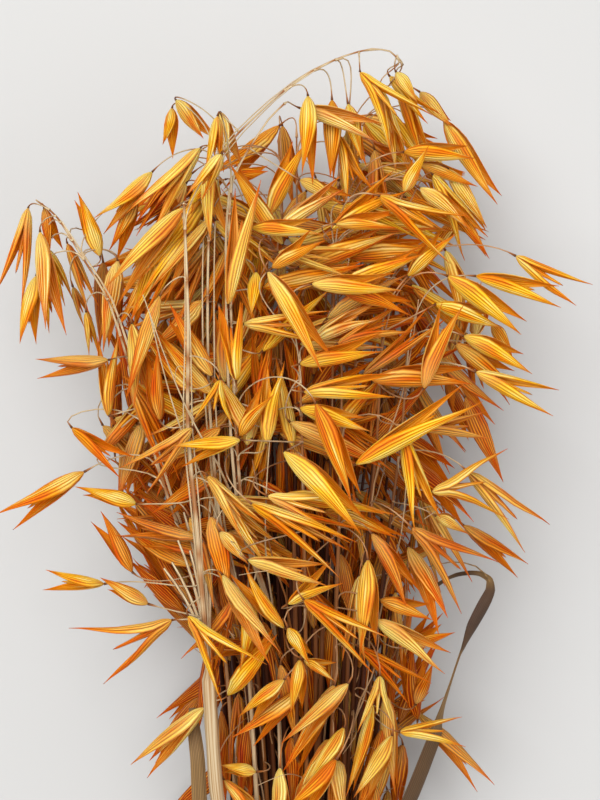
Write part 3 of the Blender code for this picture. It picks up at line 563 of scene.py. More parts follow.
bundle = {
    "seed": 7, "cutEnd": -135, "pitch": 3, "tieStraight": 7, "fanEnd": 260, "fanGrowth": 3.1,
    "footGrowth": 1.35, "flattening": 0.86, "twist": radians(16), "sway": 2.2,
    "tops": (292, 276, 262, 240), "topSpread": 16, "reach": (0, 3, 6, 7),
    "cutHeight": 15, "headHeight": 40, "tieHeight": 12.2,
    "massY": (50, 100, 135, 165, 200, 240, 275, 300),
    "massHalf": (11, 20, 28, 36, 45, 48, 43, 28),
    "bends": (60, 120, 175, 220), "leafSlots": (19, 28),
}
routes = {
    24: {"name": "head_short_arch",
        "points": [(-14, 200, 66), (-17, 245, 71), (-17, 284, 70), (-8, 300, 68), (-4, 304, 68)]},
    25: {"name": "head_long_arch",
        "points": [(-20, 200, 64), (-23, 240, 67), (-21, 289, 64), (-9, 303, 62), (1, 311, 61),
            (11, 316, 60), (18, 317.8, 59), (22.5, 317.2, 58), (24.3, 315.6, 57.5)]},
    26: {"name": "head_left_straw", "sheath": (100, 166, 1.7),
        "points": [(-18, 115, 53), (-21, 133, 58), (-23, 163, 65), (-26, 200, 72), (-28, 222, 75),
            (-28, 250, 76), (-29, 279, 73)]},
    # the droop's husks are a little browner, painted shade
    27: {"name": "head_left_droop", "tone": 0.12,
        "points": [(-31, 200, 52), (-38, 222, 55), (-44, 243, 56), (-48, 255, 55), (-54, 265, 53),
            (-61, 276, 50), (-66, 280, 47)]},
}


def axisHeight(y):
    return (bundle["tieHeight"] + (bundle["cutHeight"] - bundle["tieHeight"]) * ramp(-y, 0, -bundle["cutEnd"])
        + (bundle["headHeight"] - bundle["tieHeight"]) * ramp(y, 10, 190))


def massHalf(y):
    return np.interp(y, bundle["massY"], bundle["massHalf"])


def frontHeight(x, y):
    half = massHalf(y) + 6
    return axisHeight(y) + massHalf(y) * 0.8 * np.sqrt(np.maximum(0.1, 1 - (x / half) ** 2))


def shrinkAt(z):
    return (eye["height"] - z) / (eye["height"] - eye["husks"])


def seen(x, y, z):
    # the point at height z that covers this place, for the eye over the bundle
    return at(x * shrinkAt(z), eye["y"] + (y - eye["y"]) * shrinkAt(z), z)


def tieSlots():
    slots = [(0, np.zeros(2))]
    corners = [np.array((cos(a), sin(a))) for a in np.radians(np.arange(0, 420, 60))]
    for ring in (1, 2, 3):
        for side in range(6):
            for step in range(ring):
                place = corners[side] * (ring - step) + corners[side + 1] * step
                slots.append((ring, place * bundle["pitch"]))
    return slots


def slotPoint(place, y, sway):
    # past the straight run in the tie the stems spread, turn and lie flatter
    straight = bundle["tieStraight"]
    share = max(0, y - straight) / bundle["fanEnd"]
    turn = bundle["twist"] * share
    end, most = bundle["fanEnd"], bundle["fanGrowth"]
    if y < 0:
        end, most = -bundle["cutEnd"], bundle["footGrowth"]
    growth = 1 + (most - 1) * max(0, (abs(y) - straight) / (end - straight))
    x, z = swing(place[0], -place[1], turn), swing(place[1], place[0], turn)
    height = axisHeight(y) + z * growth * (1 - (1 - bundle["flattening"]) * ramp(y, 0, 200))
    return at(x * growth + sway[0] * share, y, height + sway[1] * share)


def stemRoute(ring, place, sway, top, route):
    stop = route["points"][0][1] - 25 if route else top
    heights = [bundle["cutEnd"] + abs(sway[0]), -bundle["tieStraight"], bundle["tieStraight"]]
    heights += [y for y in bundle["bends"] if y < stop - 8] + [stop]
    points = [slotPoint(place, y, sway) for y in heights]
    if route:
        return points + [seen(*spot) for spot in route["points"]]
    return [point + (unit(point - at(0, y, axisHeight(y))) if ring else 0)
        * bundle["reach"][ring] * ramp(y, top - 110, top) for point, y in zip(points, heights)]


def smoothPath(points, spacing):
    # a Catmull-Rom curve through the points, at about even steps
    points = [np.asarray(point, float) for point in points]
    ends = [2 * points[0] - points[1]] + points + [2 * points[-1] - points[-2]]
    path = []
    for index in range(1, len(ends) - 2):
        a, b, c, d = ends[index - 1:index + 3]
        span = norm(c - b)
        # straight runs in the tie stay straight
        tension = min(1, span / max(norm(b - a), norm(d - c), 1e-9))
        tangentB, tangentC = (c - a) / 2 * tension, (d - b) / 2 * tension
        count = max(1, round(span / spacing))
        for step in range(count):
            t = step / count
            path.append(b * (2 * t ** 3 - 3 * t * t + 1) + tangentB * (t ** 3 - 2 * t * t + t)
                + c * (3 * t * t - 2 * t ** 3) + tangentC * (t ** 3 - t * t))
    return np.array(path + [points[-1]])


draw = random.Random(bundle["seed"])
for number, (ring, place) in enumerate(tieSlots()):
    if number in bundle["leafSlots"]:
        continue
    route = routes.get(number, {})
    sway = [draw.uniform(-bundle["sway"], bundle["sway"]) for _ in range(2)]
    top = bundle["tops"][ring] + draw.uniform(-bundle["topSpread"], bundle["topSpread"])
    path = smoothPath(stemRoute(ring, place, sway, top, route), 3 if route else 6)
    # the places where stalks may leave the stem
    keep = np.flatnonzero(path[:, 1] > (150 if route else 70))[::2 if route else 1]
    heads[route.get("name", f"head_{number:02d}")].update(
        path=path * mm, samples=path[keep] * mm, tangents=unitRows(np.gradient(path, axis=0)[keep]),
        ring=3 if route else ring, onItsOwn=bool(route), strands=[], loose=[],
        tone=route.get("tone", 0), sheath=route.get("sheath"))
print("stem routes")


# more spikelets than the CAD holds: they fill the bundle behind the front ones, under
# and beside it, clear of the rest, and each grows from the stem that suits it

more = {
    "seed": 31, "front": 280, "round": 190, "tries": 20, "pocketTries": 40,
    "length": (18, 26), "gape": (2.5, 8), "width": (4, 5.6), "depth": (3, 34), "ease": 13,
    "beside": 8, "openAbove": 190, "keepOpen": 0.85,
    # how far the bundle reaches as seen from above, along it
    "y": (120, 142, 155, 167, 180, 192, 205, 217, 230, 247, 265, 280, 300, 312),
    "left": (-25, -26.5, -28, -32, -37.5, -45, -50, -51, -52, -52, -53, -47, -32, -12),
    "right": (24, 31, 36, 36, 29, 40, 42, 34, 37, 49, 50, 47, 39, 26),
    "topX": (-50, -42, -34, -24, -16, -10, 0, 6, 15, 25, 34, 42, 50),
    "top": (272, 280, 288, 294, 284, 279, 281, 294, 303, 304, 298, 286, 268),
}


def roughSpikelet(spot):
    # 11 points round both glumes, to test whether two spikelets cross
    base, along, out = spot["base"], spot["direction"] * spot["length"], spot["opening"]
    wide = np.cross(spot["direction"], out) * spot["width"] / 2
    deep, gape = out * glume["depth"], out * spot["gape"] / 2
    points = [base]
    for share, width, opened in ((0.28, 0.95, 0), (0.62, 0.7, 0.45)):
        middle = base + along * share
        reach = gape * opened + deep
        points += [middle + wide * width, middle + reach, middle - wide * width, middle - reach]
    points += [base + along + gape, base + along - gape]
    faces = [(0, 1, 2), (0, 2, 3), (0, 3, 4), (0, 4, 1)]
    for a, b in ((1, 2), (2, 3), (3, 4), (4, 1)):
        faces += [(a, a + 4, b), (b, a + 4, b + 4)]
    faces += [(5, 9, 6), (6, 9, 7), (7, 10, 8), (8, 10, 5), (5, 10, 9), (7, 9, 10)]
    return np.array(points), faces


obstacles = []
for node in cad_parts.values():
    points = vertPlaces(node.data)
    tree = BVHTree.FromPolygons(points.tolist(), [tuple(face.vertices) for face in node.data.polygons])
    obstacles.append((points.min(0), points.max(0), tree))


def withinReach(points, ease=0):
    # ease in mm: how far inside the bundle's edge the points must stay
    x, y, z = points.T / mm
    x, y = x / shrinkAt(z), eye["y"] + (y - eye["y"]) / shrinkAt(z)
    low = massHalf(y) + 4
    left = np.where(y < 125, -low, np.interp(y, more["y"], more["left"]))
    right = np.where(y < 125, low, np.interp(y, more["y"], more["right"]))
    top = np.interp(x, more["topX"], more["top"])
    return bool(((x > left + ease) & (x < right - ease) & (y < top - ease / 2)).all())


def isClear(spot):
    points, faces = roughSpikelet(spot)
    low, high = points.min(0), points.max(0)
    if low[2] < 0.4 * mm or ("ease" in spot and not withinReach(points, spot["ease"])):
        return False
    tree = BVHTree.FromPolygons(points.tolist(), faces)
    for otherLow, otherHigh, other in obstacles:
        if (low <= otherHigh).all() and (high >= otherLow).all() and tree.overlap(other):
            return False
    obstacles.append((low, high, tree))
    return True


allSamples = np.concatenate([head["samples"] for head in heads.values()])
allTangents = np.concatenate([head["tangents"] for head in heads.values()])
owners = [name for name, head in heads.items() for _ in head["samples"]]
fromBelow = {"aheadCost": 0, "below": 15, "hook": 5}


def growFrom(spot, aheadCost=14, below=-200, hook=12):
    # the stem place that lies behind the spikelet and near it, with not too much on it
    base, direction = spot["base"], spot["direction"]
    gaps = allSamples - base
    distances = norm(gaps, axis=1)
    ahead = gaps @ direction / distances
    crowd = np.array([len(heads[owner]["spikelets"]) for owner in owners])
    cost = distances / mm + 0.35 * crowd + aheadCost * np.clip(ahead + 0.1, 0, None)
    cost[(distances < 4 * mm) | (distances > 36 * mm) | (gaps[:, 1] > -below * mm)] = np.inf
    best = int(np.argmin(cost))
    if np.isinf(cost[best]):
        return False
    root, reach = allSamples[best], distances[best]
    leanOut = root + allTangents[best] * reach * 0.4
    leanIn = base - direction * min(reach * 0.45, hook * mm)
    spot["stalk"] = [leanOut * 4 / 9 + root * 8 / 27 + leanIn * 2 / 9 + base / 27,
        leanOut * 2 / 9 + root / 27 + leanIn * 4 / 9 + base * 8 / 27]
    spot["root"] = root
    heads[owners[best]]["spikelets"].append(spot)
    return True


def makeSpot(base, direction, facing, chance):
    direction = unit(direction)
    sideways = unit(np.cross(direction, facing))
    forward = np.cross(sideways, direction)
    roll = chance.uniform(0, pi / 2)
    return {
        "base": base, "direction": direction, "opening": swing(sideways, forward, roll),
        **{name: chance.uniform(*more[name]) * mm for name in ("length", "gape", "width")},
        "front": False, "ease": more["ease"] * chance.random() ** 1.5,
    }


def spotAmong(middle, places, ways, chance):
    # a spikelet that lies about as the ones near it do
    near = np.exp(-((places - middle) ** 2).sum(1) / (14 * mm) ** 2)
    way = unit(near @ ways + 1e-6)
    turn = chance.gauss(0, 0.45)
    flat = at(swing(way[0], -way[1], turn), swing(way[1], way[0], turn), chance.uniform(-0.5, 0.2))
    spot = makeSpot(middle, flat, at(0, 0, 1), chance)
    spot["base"] = middle - spot["direction"] * spot["length"] / 2
    return spot


# places where the floor would show: x, y and height, each from and to, and how many husks
pockets = (((-40, -24), (180, 206), (14, 44), 26), ((20, 42), (280, 302), (16, 44), 14),
    ((-22, 24), (150, 196), (4, 26), 24), ((-49, -37), (200, 228), (26, 54), 9),
    ((-47, -33), (176, 203), (24, 50), 9), ((-32, -25), (158, 176), (20, 46), 5),
    ((-50, -40), (240, 268), (26, 52), 9), ((-40, -18), (276, 294), (26, 50), 7),
    ((28, 38), (290, 303), (26, 48), 4), ((36, 46), (272, 290), (24, 50), 6),
    ((27, 34), (150, 164), (20, 42), 3), ((24, 30), (132, 146), (16, 36), 3))


def keepsOpen(x, y, chance):
    # at the right, over the leaf, mostly thin straws stand before the floor
    return 9 < x < 24 and 190 < y < 222 and chance.random() < more["keepOpen"]


def growFront(places, ways, chance):
    placed = 0
    for _ in range(more["front"] * more["tries"]):
        if placed >= more["front"]:
            break
        if chance.random() < 0.5:
            middle = places[chance.randrange(len(places))].copy()
            middle += at(chance.gauss(0, more["beside"]), chance.gauss(0, more["beside"]), 0) * mm
        else:
            y = chance.uniform(128, 292)
            middle = at(chance.uniform(-0.95, 0.95) * massHalf(y), y, 0) * mm
        x, y = middle[:2] / mm
        deep = chance.uniform(*more["depth"])
        # the lower half of the bundle is open, and its stems show
        bare = 0.97 if x < -8 and deep < 16 else 0.55 + 0.02 * (14 - deep)
        if y < more["openAbove"] and chance.random() < bare or keepsOpen(x, y, chance):
            continue
        middle[2] = (frontHeight(x, y) - deep) * mm
        spot = spotAmong(middle, places, ways, chance)
        if isClear(spot):
            placed += growFrom(spot)
    return placed


def growRound(chance):
    placed = 0
    for _ in range(more["round"] * more["tries"]):
        if placed >= more["round"]:
            break
        root = allSamples[chance.randrange(len(allSamples))]
        outward = unit(at(root[0], 0, root[2] - axisHeight(root[1] / mm) * mm))
        aside = at(outward[2], 0, -outward[0])
        turn = chance.gauss(0, 0.9)
        away = swing(outward, aside, turn)
        if away[2] > 0.5:
            continue
        # low down they keep close to the stems
        slack = 0.25 + 0.75 * ramp(root[1] / mm, 150, 215)
        base = root + away * chance.uniform(5, 17) * slack * mm + at(0, chance.uniform(-4, 14) * mm, 0)
        hang = -chance.uniform(0.5, 1.1) if chance.random() < 0.7 else chance.uniform(0.2, 0.9)
        lean = (away * chance.uniform(0, 0.55) + aside * chance.uniform(-0.5, 0.5)) * slack
        spot = makeSpot(base, lean + at(0, hang, 0), away, chance)
        low = roughSpikelet(spot)[0][:, 2].min()
        if low < 1 * mm:
            spot["base"] = base + at(0, 0, 0.8 * mm - low)
        if not keepsOpen(*(spot["base"][:2] / mm), chance) and isClear(spot):
            placed += growFrom(spot)
    return placed


def growInPockets(places, ways, chance):
    grown = 0
    for *spans, number in pockets:
        # near the top they hang from below, as in reroot
        placed, way = 0, fromBelow if spans[1][0] > 270 else {}
        for _ in range(number * more["pocketTries"]):
            middle = seen(*(chance.uniform(*span) for span in spans)) * mm
            spot = spotAmong(middle, places, ways, chance)
            spot["ease"] = 1
            if placed < number and isClear(spot):
                placed += growFrom(spot, **way)
        grown += placed
    return grown


def growMore():
    chance = random.Random(more["seed"])
    guides = [spot for head in heads.values() for spot in head["spikelets"]
        if spot["base"][2] > (axisHeight(spot["base"][1] / mm) + 8) * mm]
    places = np.array([spot["base"] + spot["direction"] * spot["length"] / 2 for spot in guides])
    ways = np.array([spot["direction"] for spot in guides])
    return growFront(places, ways, chance), growRound(chance), growInPockets(places, ways, chance)


# husks that hang past the bundle's edge, in the droop at the left and under the top of the
# long arch: foot x and y, tip x and y, height, width
hanging = ((-58.2, 269.2, -51.8, 252.5, 48, 4.2), (-56.8, 258.3, -53, 249, 47, 3),
    (-53.5, 252, -51.5, 241, 47, 3.4), (-64.4, 262, -61.2, 247.5, 40, 4.6),
    (-63.3, 267.8, -57.8, 254.3, 44, 4.6), (20, 308, 24.5, 292, 54, 4.6),
    (22.4, 311, 33.5, 299.8, 56, 4.6), (24.5, 309.5, 32, 289.5, 50, 5),
    (21.5, 304.3, 25.8, 286, 47, 4.4), (-20.6, 301, -21.8, 287, 80, 4.6),
    (-19.6, 291.5, -26.5, 280.5, 82, 5))


def reroot(names, left, right, lowest):
    # the spikelets of these heads in this part, in mm, hang from the stem that is below them
    for head in [heads[name] for name in names]:
        high = [spot for spot in head["spikelets"]
            if left * mm < spot["base"][0] < right * mm and spot["base"][1] > lowest * mm]
        head["spikelets"] = [spot for spot in head["spikelets"] if not any(spot is other for other in high)]
        for spot in high:
            if not growFrom(spot, **fromBelow):
                head["spikelets"].append(spot)


def growHanging():
    grown = 0
    for footX, footY, tipX, tipY, height, width in hanging:
        # at the first height that is free
        for drop in range(0, 21, 3):
            base, tip = seen(footX, footY, height - drop) * mm, seen(tipX, tipY, height - drop - 4) * mm
            spot = dict(
                base=base, direction=unit(tip - base), length=norm(tip - base), gape=2.5 * mm,
                width=width * mm, front=False, opening=unit(np.cross(tip - base, at(0.3, 0, 1))))
            if isClear(spot):
                grown += growFrom(spot, **(fromBelow if -30 < footX < 0 else {}))
                break
    return grown


# the top ones at the left, and later those of the droop that lie over the bundle
reroot(list(heads), -100, -20, 295)
print("hanging past the edge:", growHanging())
print("grown in front, round it and in pockets:", growMore())
reroot(["head_left_droop"], -44, 0, 262)


# each head as one piece: its straw from curves, and a bent copy of a pattern for each spikelet

straw = {
    "stemY": (0, 70, 140, 200), "stemRadii": (1.3, 1, 0.56, 0.42, 0.22), "stout": 1.4, "stemSides": 2,
    "shade": (1, 0.95, 0.85, 0.5), "knotSpans": ((-105, -45), (22, 58), (80, 130)), "knotSwell": 1.3,
    "hollow": (0.35 * mm, 5 * mm), "rootRadii": (0.4, 0.25), "stalkRadius": 0.17, "footRadius": 0.34,
    "stalkSides": 1, "stalkSteps": 8, "longStalk": 20 * mm,
}
# hair-fine bare branches: long ones that run up among the stems, short ones that curl off
strands = {
    "long": {"number": 70, "from": (60, 200), "length": (30, 75), "away": (2, 7), "radius": 0.26},
    "short": {"number": 36, "from": (110, 285), "length": (9, 22), "away": (4, 12), "radius": 0.15},
}
# bare straws that run close beside those on their own, and a fan of them above the leaf sheath
beside = {"number": 2, "apart": (0.9, 1.6), "radius": 0.24}
fan = {
    "from": 166, "to": (186, 206), "z": (55, 66), "radius": 0.56,
    "x": (-34, -32, -30.5, -29, -27.5, -25.5, -24, -22.5, -21),
}
# leaf sheaths that stand off the other stems, low down; their darker colour is painted shade
loose = {"number": 2, "apart": (1.8, 3.3), "to": (178, 222), "radius": 0.9, "shade": 0.35, "openStop": 186}
# painted shade: straw inside the bundle is darker, and so is what stands among the lowest heads
inner = {"depth": (10, 38), "darker": 0.5, "y": (90, 130, 185, 220), "low": 0.3, "lowAlone": 0.1}
# how brown a husk is: its own draw, plus painted shade that makes it browner where it lies deep, low down above
# all, and lighter near the top as painted light
brown = {"own": (0.24, 0.2), "depth": 33, "most": 0.72, "low": 0.25, "top": 0.13}


def bendPattern(pattern, spot, chance):
    points, side = pattern["points"], pattern["side"]
    along = points[:, 1] / glume["length"]
    wide = np.cross(spot["direction"], spot["opening"])
    slim = spot["width"] / (2 * glume["halfWidth"])
    # one glume is a little longer than the other, and both bow a little
    reach = along * (1 + side * chance.uniform(-0.05, 0.05)) * spot["length"]
    part = side * spot["gape"] / 2 * np.clip((along - 0.2) / 0.8, 0, None) ** 1.15
    bow = along * (1 - along) * spot["length"]
    out = part + points[:, 2] * min(1, slim * 1.1) + side * bow * chance.uniform(0, 0.06)
    out = out + bow * chance.uniform(-0.1, 0.1)
    across = points[:, 0] * slim + bow * chance.uniform(-0.1, 0.1)
    return (spot["base"] + spot["direction"] * reach[:, None] + spot["opening"] * out[:, None]
        + wide * across[:, None])


def copyPattern(spot, chance, headTone):
    x, y, z = spot["base"] / mm
    deep = max(0, frontHeight(x, y) - z)
    pattern = chance.choices(patterns["fine" if spot["front"] and deep < 14 else "light"], pairShares)[0]
    made = pattern["object"].copy()
    made.data = pattern["object"].data.copy()
    bpy.context.collection.objects.link(made)
    points = bendPattern(pattern, spot, chance)
    points[:, 2] = np.maximum(points[:, 2], 0.1 * mm)
    made.data.vertices.foreach_set("co", points.astype(np.float32).ravel())
    # painted shade: the deeper and lower a husk lies, the browner it is; near the top middle it is lighter,
    # painted light
    paintedShade = (min(brown["most"], deep / brown["depth"]) * (1 - 0.6 * ramp(y, 215, 285))
        + brown["low"] * (1 - ramp(y, 170, 215)) * min(1, deep / 10))
    paintedShade -= brown["top"] * ramp(y, 245, 295) * ramp(x, -30, 30)
    tone = min(1, max(0, chance.gauss(*brown["own"]) + paintedShade + headTone))
    setAttribute(made.data, "tone", tone)
    setAttribute(made.data, "pale", chance.random() ** 1.7 * (1 - 0.7 * tone))
    setAttribute(made.data, "dull", 0.9 if chance.random() < 0.09 else chance.random() ** 6)
    return made


def stalkPath(spot, head):
    # the cubic through the root, two places of the stalk and the foot of the spikelet
    base, known, root = spot["base"], spot["stalk"][:2], spot.get("root")
    if root is None:
        guess = 3 * known[0] - 3 * known[1] + base if len(known) > 1 else base
        root = head["path"][np.argmin(norm(head["path"] - guess, axis=1))]
    if len(known) < 2:
        known = (root * 0.66 + base * 0.34, root * 0.33 + base * 0.67)
    steps = straw["stalkSteps"] * (2 if norm(base - root) > straw["longStalk"] else 1)
    path = []
    for t in np.arange(steps + 1) / steps:
        weights = [prod((t - m / 3) / ((k - m) / 3) for m in range(4) if m != k) for k in range(4)]
        path.append(sum(weight * place for weight, place in zip(weights, (root, *known, base))))
    return path


def curveObject(name, splines, sides):
    # splines: lists of (point, radius in mm)
    curve = bpy.data.curves.new(name, "CURVE")
    curve.dimensions = "3D"
    curve.bevel_depth = mm
    curve.bevel_resolution = sides
    curve.use_fill_caps = True
    for spots in splines:
        spline = curve.splines.new("POLY")
        spline.points.add(len(spots) - 1)
        for knot, (point, radius) in zip(spline.points, spots):
            knot.co = (*point, 1)
            knot.radius = radius
    made = bpy.data.objects.new(name, curve)
    bpy.context.collection.objects.link(made)
    pick(made)
    bpy.ops.object.convert(target="MESH")
    startEdit("SELECT")
    bpy.ops.mesh.remove_doubles(threshold=0.000005)
    faceOutwards()
    smoothFaces()
    return bpy.context.object


def stemRadius(y, top, sheath):
    if sheath and sheath[0] < y < sheath[1]:
        return sheath[2]
    # the one with the sheath is the stoutest straw
    radius = np.interp(y, (*straw["stemY"], max(top, 201)), straw["stemRadii"])
    return float(radius) * (straw["stout"] if sheath else 1)


def hollowEnd(thing):
    # the cut end of a straw: the end face is inset and pushed in
    far = min(face.center.y for face in thing.data.polygons)
    ends = [face.index for face in thing.data.polygons
        if face.normal.y < -0.8 and face.center.y < far + 0.5 * mm]
    if not ends:
        return
    startEdit("DESELECT")
    endEdit()
    for index in ends:
        thing.data.polygons[index].select = True
    startEdit()
    bpy.ops.mesh.select_mode(type="FACE")
    bpy.ops.mesh.inset(thickness=straw["hollow"][0])
    bpy.ops.mesh.extrude_region_move(TRANSFORM_OT_translate={"value": (0, straw["hollow"][1], 0)})
    bpy.ops.mesh.select_mode(type="VERT")
    endEdit()


def growStrands(kind, chance):
    look, some = strands[kind], chance.uniform
    for _ in range(look["number"]):
        start = some(*look["from"])
        fit = [i for i, (x, y, z) in enumerate(allSamples / mm)
            if abs(y - start) < 4 and z > axisHeight(y) - 4]
        if not fit:
            continue
        index = chance.choice(fit)
        root, tangent = allSamples[index], allTangents[index]
        outward = unit(at(root[0], 0, abs(root[2] - axisHeight(root[1] / mm) * mm)))
        aside = at(outward[2], 0, -outward[0]) * some(-1, 1)
        length, away = some(*look["length"]) * mm, some(*look["away"]) * mm
        hook = -some(0.1, 0.5) if kind == "short" else some(0.9, 1)
        middle = root + tangent * length * 0.45 + (outward + aside * 0.5) * away
        end = middle + tangent * length * 0.5 * hook + (outward * 0.2 + aside) * away
        path = arc(root, root + tangent * length * 0.3, middle, (0, 0.33, 0.66))
        path += arc(middle, middle * 2 - path[2], end, (0, 0.25, 0.5, 0.75, 1))
        path = [at(x, y, max(z, 0.5 * mm)) for x, y, z in path]
        if withinReach(np.array(path)):
            radii = [look["radius"] * (1 - 0.55 * k / 7) for k in range(8)]
            heads[owners[index]]["strands"].append(list(zip(path, radii)))


def growBeside(chance):
    for head in heads.values():
        for _ in range(beside["number"] if head["onItsOwn"] else 0):
            path = head["samples"]
            first, last = chance.randrange(2, 8), len(path) - chance.randrange(1, 5)
            across = unit(np.cross(head["tangents"][len(path) // 2], at(0, 0, 1))) * chance.choice((-1, 1))
            apart, span = chance.uniform(*beside["apart"]) * mm, max(1, last - first)
            run = [path[k] + across * apart * sin(pi * (k - first) / span) for k in range(first, last)]
            radii = [beside["radius"] * (1 - 0.5 * k / len(run)) for k in range(len(run))]
            head["strands"].append(list(zip(run, radii)))


def growLoose(chance):
    for head in heads.values():
        for number in range(0 if head["onItsOwn"] else loose["number"]):
            stop = chance.uniform(*loose["to"]) * mm
            path = head["samples"][head["samples"][:, 1] < stop]
            if path[-1][0] > 7 * mm:
                path = path[path[:, 1] < loose["openStop"] * mm]
            apart = chance.uniform(*loose["apart"]) * mm * (1 if number else -1)
            run = [point + at(apart * ramp(k, -1, 4), 0, 0) for k, point in enumerate(path)]
            radii = [loose["radius"] * (1 - 0.5 * k / len(run)) for k in range(len(run))]
            head["loose"].append(list(zip(run, radii)))


def growFan(chance):
    head = heads["head_left_straw"]
    root = head["path"][np.argmin(abs(head["path"][:, 1] - fan["from"] * mm))]
    for x in fan["x"]:
        end = seen(x, chance.uniform(*fan["to"]), chance.uniform(*fan["z"])) * mm
        run = arc(root, root + (end - root) * (0.1, 0.5, 0.5), end, np.linspace(0, 1, 7))
        head["strands"].append([(point, fan["radius"] * (1 - 0.08 * k)) for k, point in enumerate(run)])


def shadeStraw(mesh, shade, low, places=(), most=0, reach=1):
    points = vertPlaces(mesh)
    x, y, z = points.T / mm
    # painted shade: darker the deeper it lies inside the bundle and among the lowest heads, less near the top
    shallow, deepest = inner["depth"]
    deep = np.clip((frontHeight(x, y) - z - shallow) / (deepest - shallow), 0, 1)
    values = (shade * (1 - 0.75 * ramp(y, 210, 260)) + inner["darker"] * deep * (1 - 0.8 * ramp(y, 220, 270))
        + np.interp(y, inner["y"], (0, low, low, 0)))
    if len(places):
        # straw is brown where a stalk meets a spikelet or leaves the stem
        near = np.min([norm(points - place, axis=1) for place in places], axis=0)
        values = np.maximum(values, np.clip(1.1 - near / (reach * mm), 0, 1) * most)
    setAttribute(mesh, "shade", np.clip(values, 0, 1))


def stemSpots(head, chance):
    # the stem's places and radii; it swells for a moment at each knot
    path, sheath = head["path"], head["sheath"]
    stem, knots = [], [chance.uniform(*span) * mm for span in straw["knotSpans"]]
    for point, after in zip(path, [*path[1:], path[-1]]):
        radius = stemRadius(point[1] / mm, path[-1][1] / mm, sheath) * chance.uniform(0.96, 1.02)
        stem.append((point, radius))
        for knot in knots:
            if point[1] <= knot - 2 * mm and after[1] > knot + 2 * mm:
                middle = point + (after - point) * (knot - point[1]) / (after[1] - point[1])
                step, swollen = unit(after - point) * mm * 1.4, radius * straw["knotSwell"]
                stem += [(middle - step, radius), (middle, swollen), (middle + step, radius)]
    return stem


def makeHead(name, head, chance):
    alone, spots = head["onItsOwn"], head["spikelets"]
    pieces = [curveObject(name + "_stem", [stemSpots(head, chance)], straw["stemSides"])]
    hollowEnd(pieces[0])
    tone = 0.08 if alone else 0.6 * chance.random() ** 3
    setAttribute(pieces[0].data, "tone", tone)
    stalks = []
    for path in [stalkPath(spot, head) for spot in spots]:
        radii = [*straw["rootRadii"]] + [straw["stalkRadius"]] * (len(path) - 3) + [straw["footRadius"]]
        stalks.append(list(zip(path, radii)))
    roots = [stalk[0][0] for stalk in stalks]
    stalks += head["strands"]
    low = inner["lowAlone" if alone else "low"]
    if stalks:
        pieces.append(curveObject(name + "_stalks", stalks, straw["stalkSides"]))
        setAttribute(pieces[1].data, "tone", 0.1 if alone else chance.uniform(0.1, 0.8))
        shadeStraw(pieces[1].data, 0.05, low / 2, [spot["base"] for spot in spots], 0.9, 2.8)
    # painted shade: stems of the inner rings are darker
    shade = 0.08 if alone else min(1, straw["shade"][head["ring"]] * chance.uniform(0.3, 1.1))
    shadeStraw(pieces[0].data, shade, low, roots, 0.6, 1.5)
    if head["loose"]:
        pieces.append(curveObject(name + "_loose", head["loose"], straw["stalkSides"]))
        setAttribute(pieces[-1].data, "tone", tone)
        shadeStraw(pieces[-1].data, loose["shade"] + shade / 2, low)
    for piece in pieces:
        piece.data.materials.append(strawMaterial)
    pieces += [copyPattern(spot, chance, head["tone"]) for spot in spots]
    made = joinAll(pieces, name + "_oats")
    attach(made, "root")
    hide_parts(name)
    return made


chance = random.Random(5)
growStrands("long", chance)
growStrands("short", chance)
growBeside(chance)
growFan(chance)
growLoose(chance)
made = [makeHead(name, head, chance) for name, head in heads.items()]
for pattern in patterns["fine"] + patterns["light"]:
    bpy.data.objects.remove(pattern["object"])
print(len(made), "heads,", sum(len(piece.data.loop_triangles) for piece in made), "triangles")


# leaves: a strip of grid laid along the leaf's route, hollowed along its middle. Each place
# has x, y, height, half width, roll in degrees and how worn it is.

leaves = {
    "leaf_right_brown": {
        "slot": 19, "hollow": 0.35, "worn": 0.5,
        "points": [(27.5, 130, 30, 2.1, 20, 0.2), (33.5, 145, 32, 2, 25, 0.25), (34.6, 149, 32, 1.6, 40, 0.6),
            (36, 154, 33, 1, 60, 1), (37.9, 160, 33, 0.55, 70, 1), (39.9, 166, 34, 0.4, 60, 0.9),
            (40.8, 168, 34, 0.7, 50, 0.2), (43.2, 173.5, 34, 1.7, 30, 0), (45.8, 178.5, 34, 1.75, 20, 0),
            (47.6, 182.5, 34, 1.2, 5, 0.1), (47.4, 185, 34.5, 0.8, 0, 0.8), (44.9, 186.6, 35, 0.65, -10, 0.5),
            (42.4, 186.8, 35, 0.6, -15, 0.1), (39.5, 186.4, 34, 0.5, -10, 0.1),
            (36.5, 185.2, 33.5, 0.35, 0, 0.4), (34.4, 183.8, 33, 0.45, 0, 0.1),
            (33, 182.3, 32.5, 0.9, 0, 0.1), (32, 181.6, 32, 0.5, 0, 0.1)],
        "strand": [(47.4, 184.5, 34.6), (46.2, 186.6, 36), (44, 188.4, 37), (41, 189.3, 37.5),
            (38, 189.5, 37.5), (35, 189, 37), (32, 188.2, 36.5)],
    },
    "leaf_left_brown": {
        "slot": 28, "hollow": 0.3, "worn": 0.8,
        "points": [(-23.4, 110, 46, 1.7, 20, 0.8), (-25, 128, 50, 1.8, 10, 0.8),
            (-25.6, 140, 51, 1.75, 15, 0.8), (-26.4, 147, 50, 1.6, 20, 0.7), (-27, 153, 48, 0.8, 30, 0.6)],
    },
}
blade = {"columns": 6, "footWidth": 1.1, "leastWidth": 0.3, "skin": 0.35 * mm}


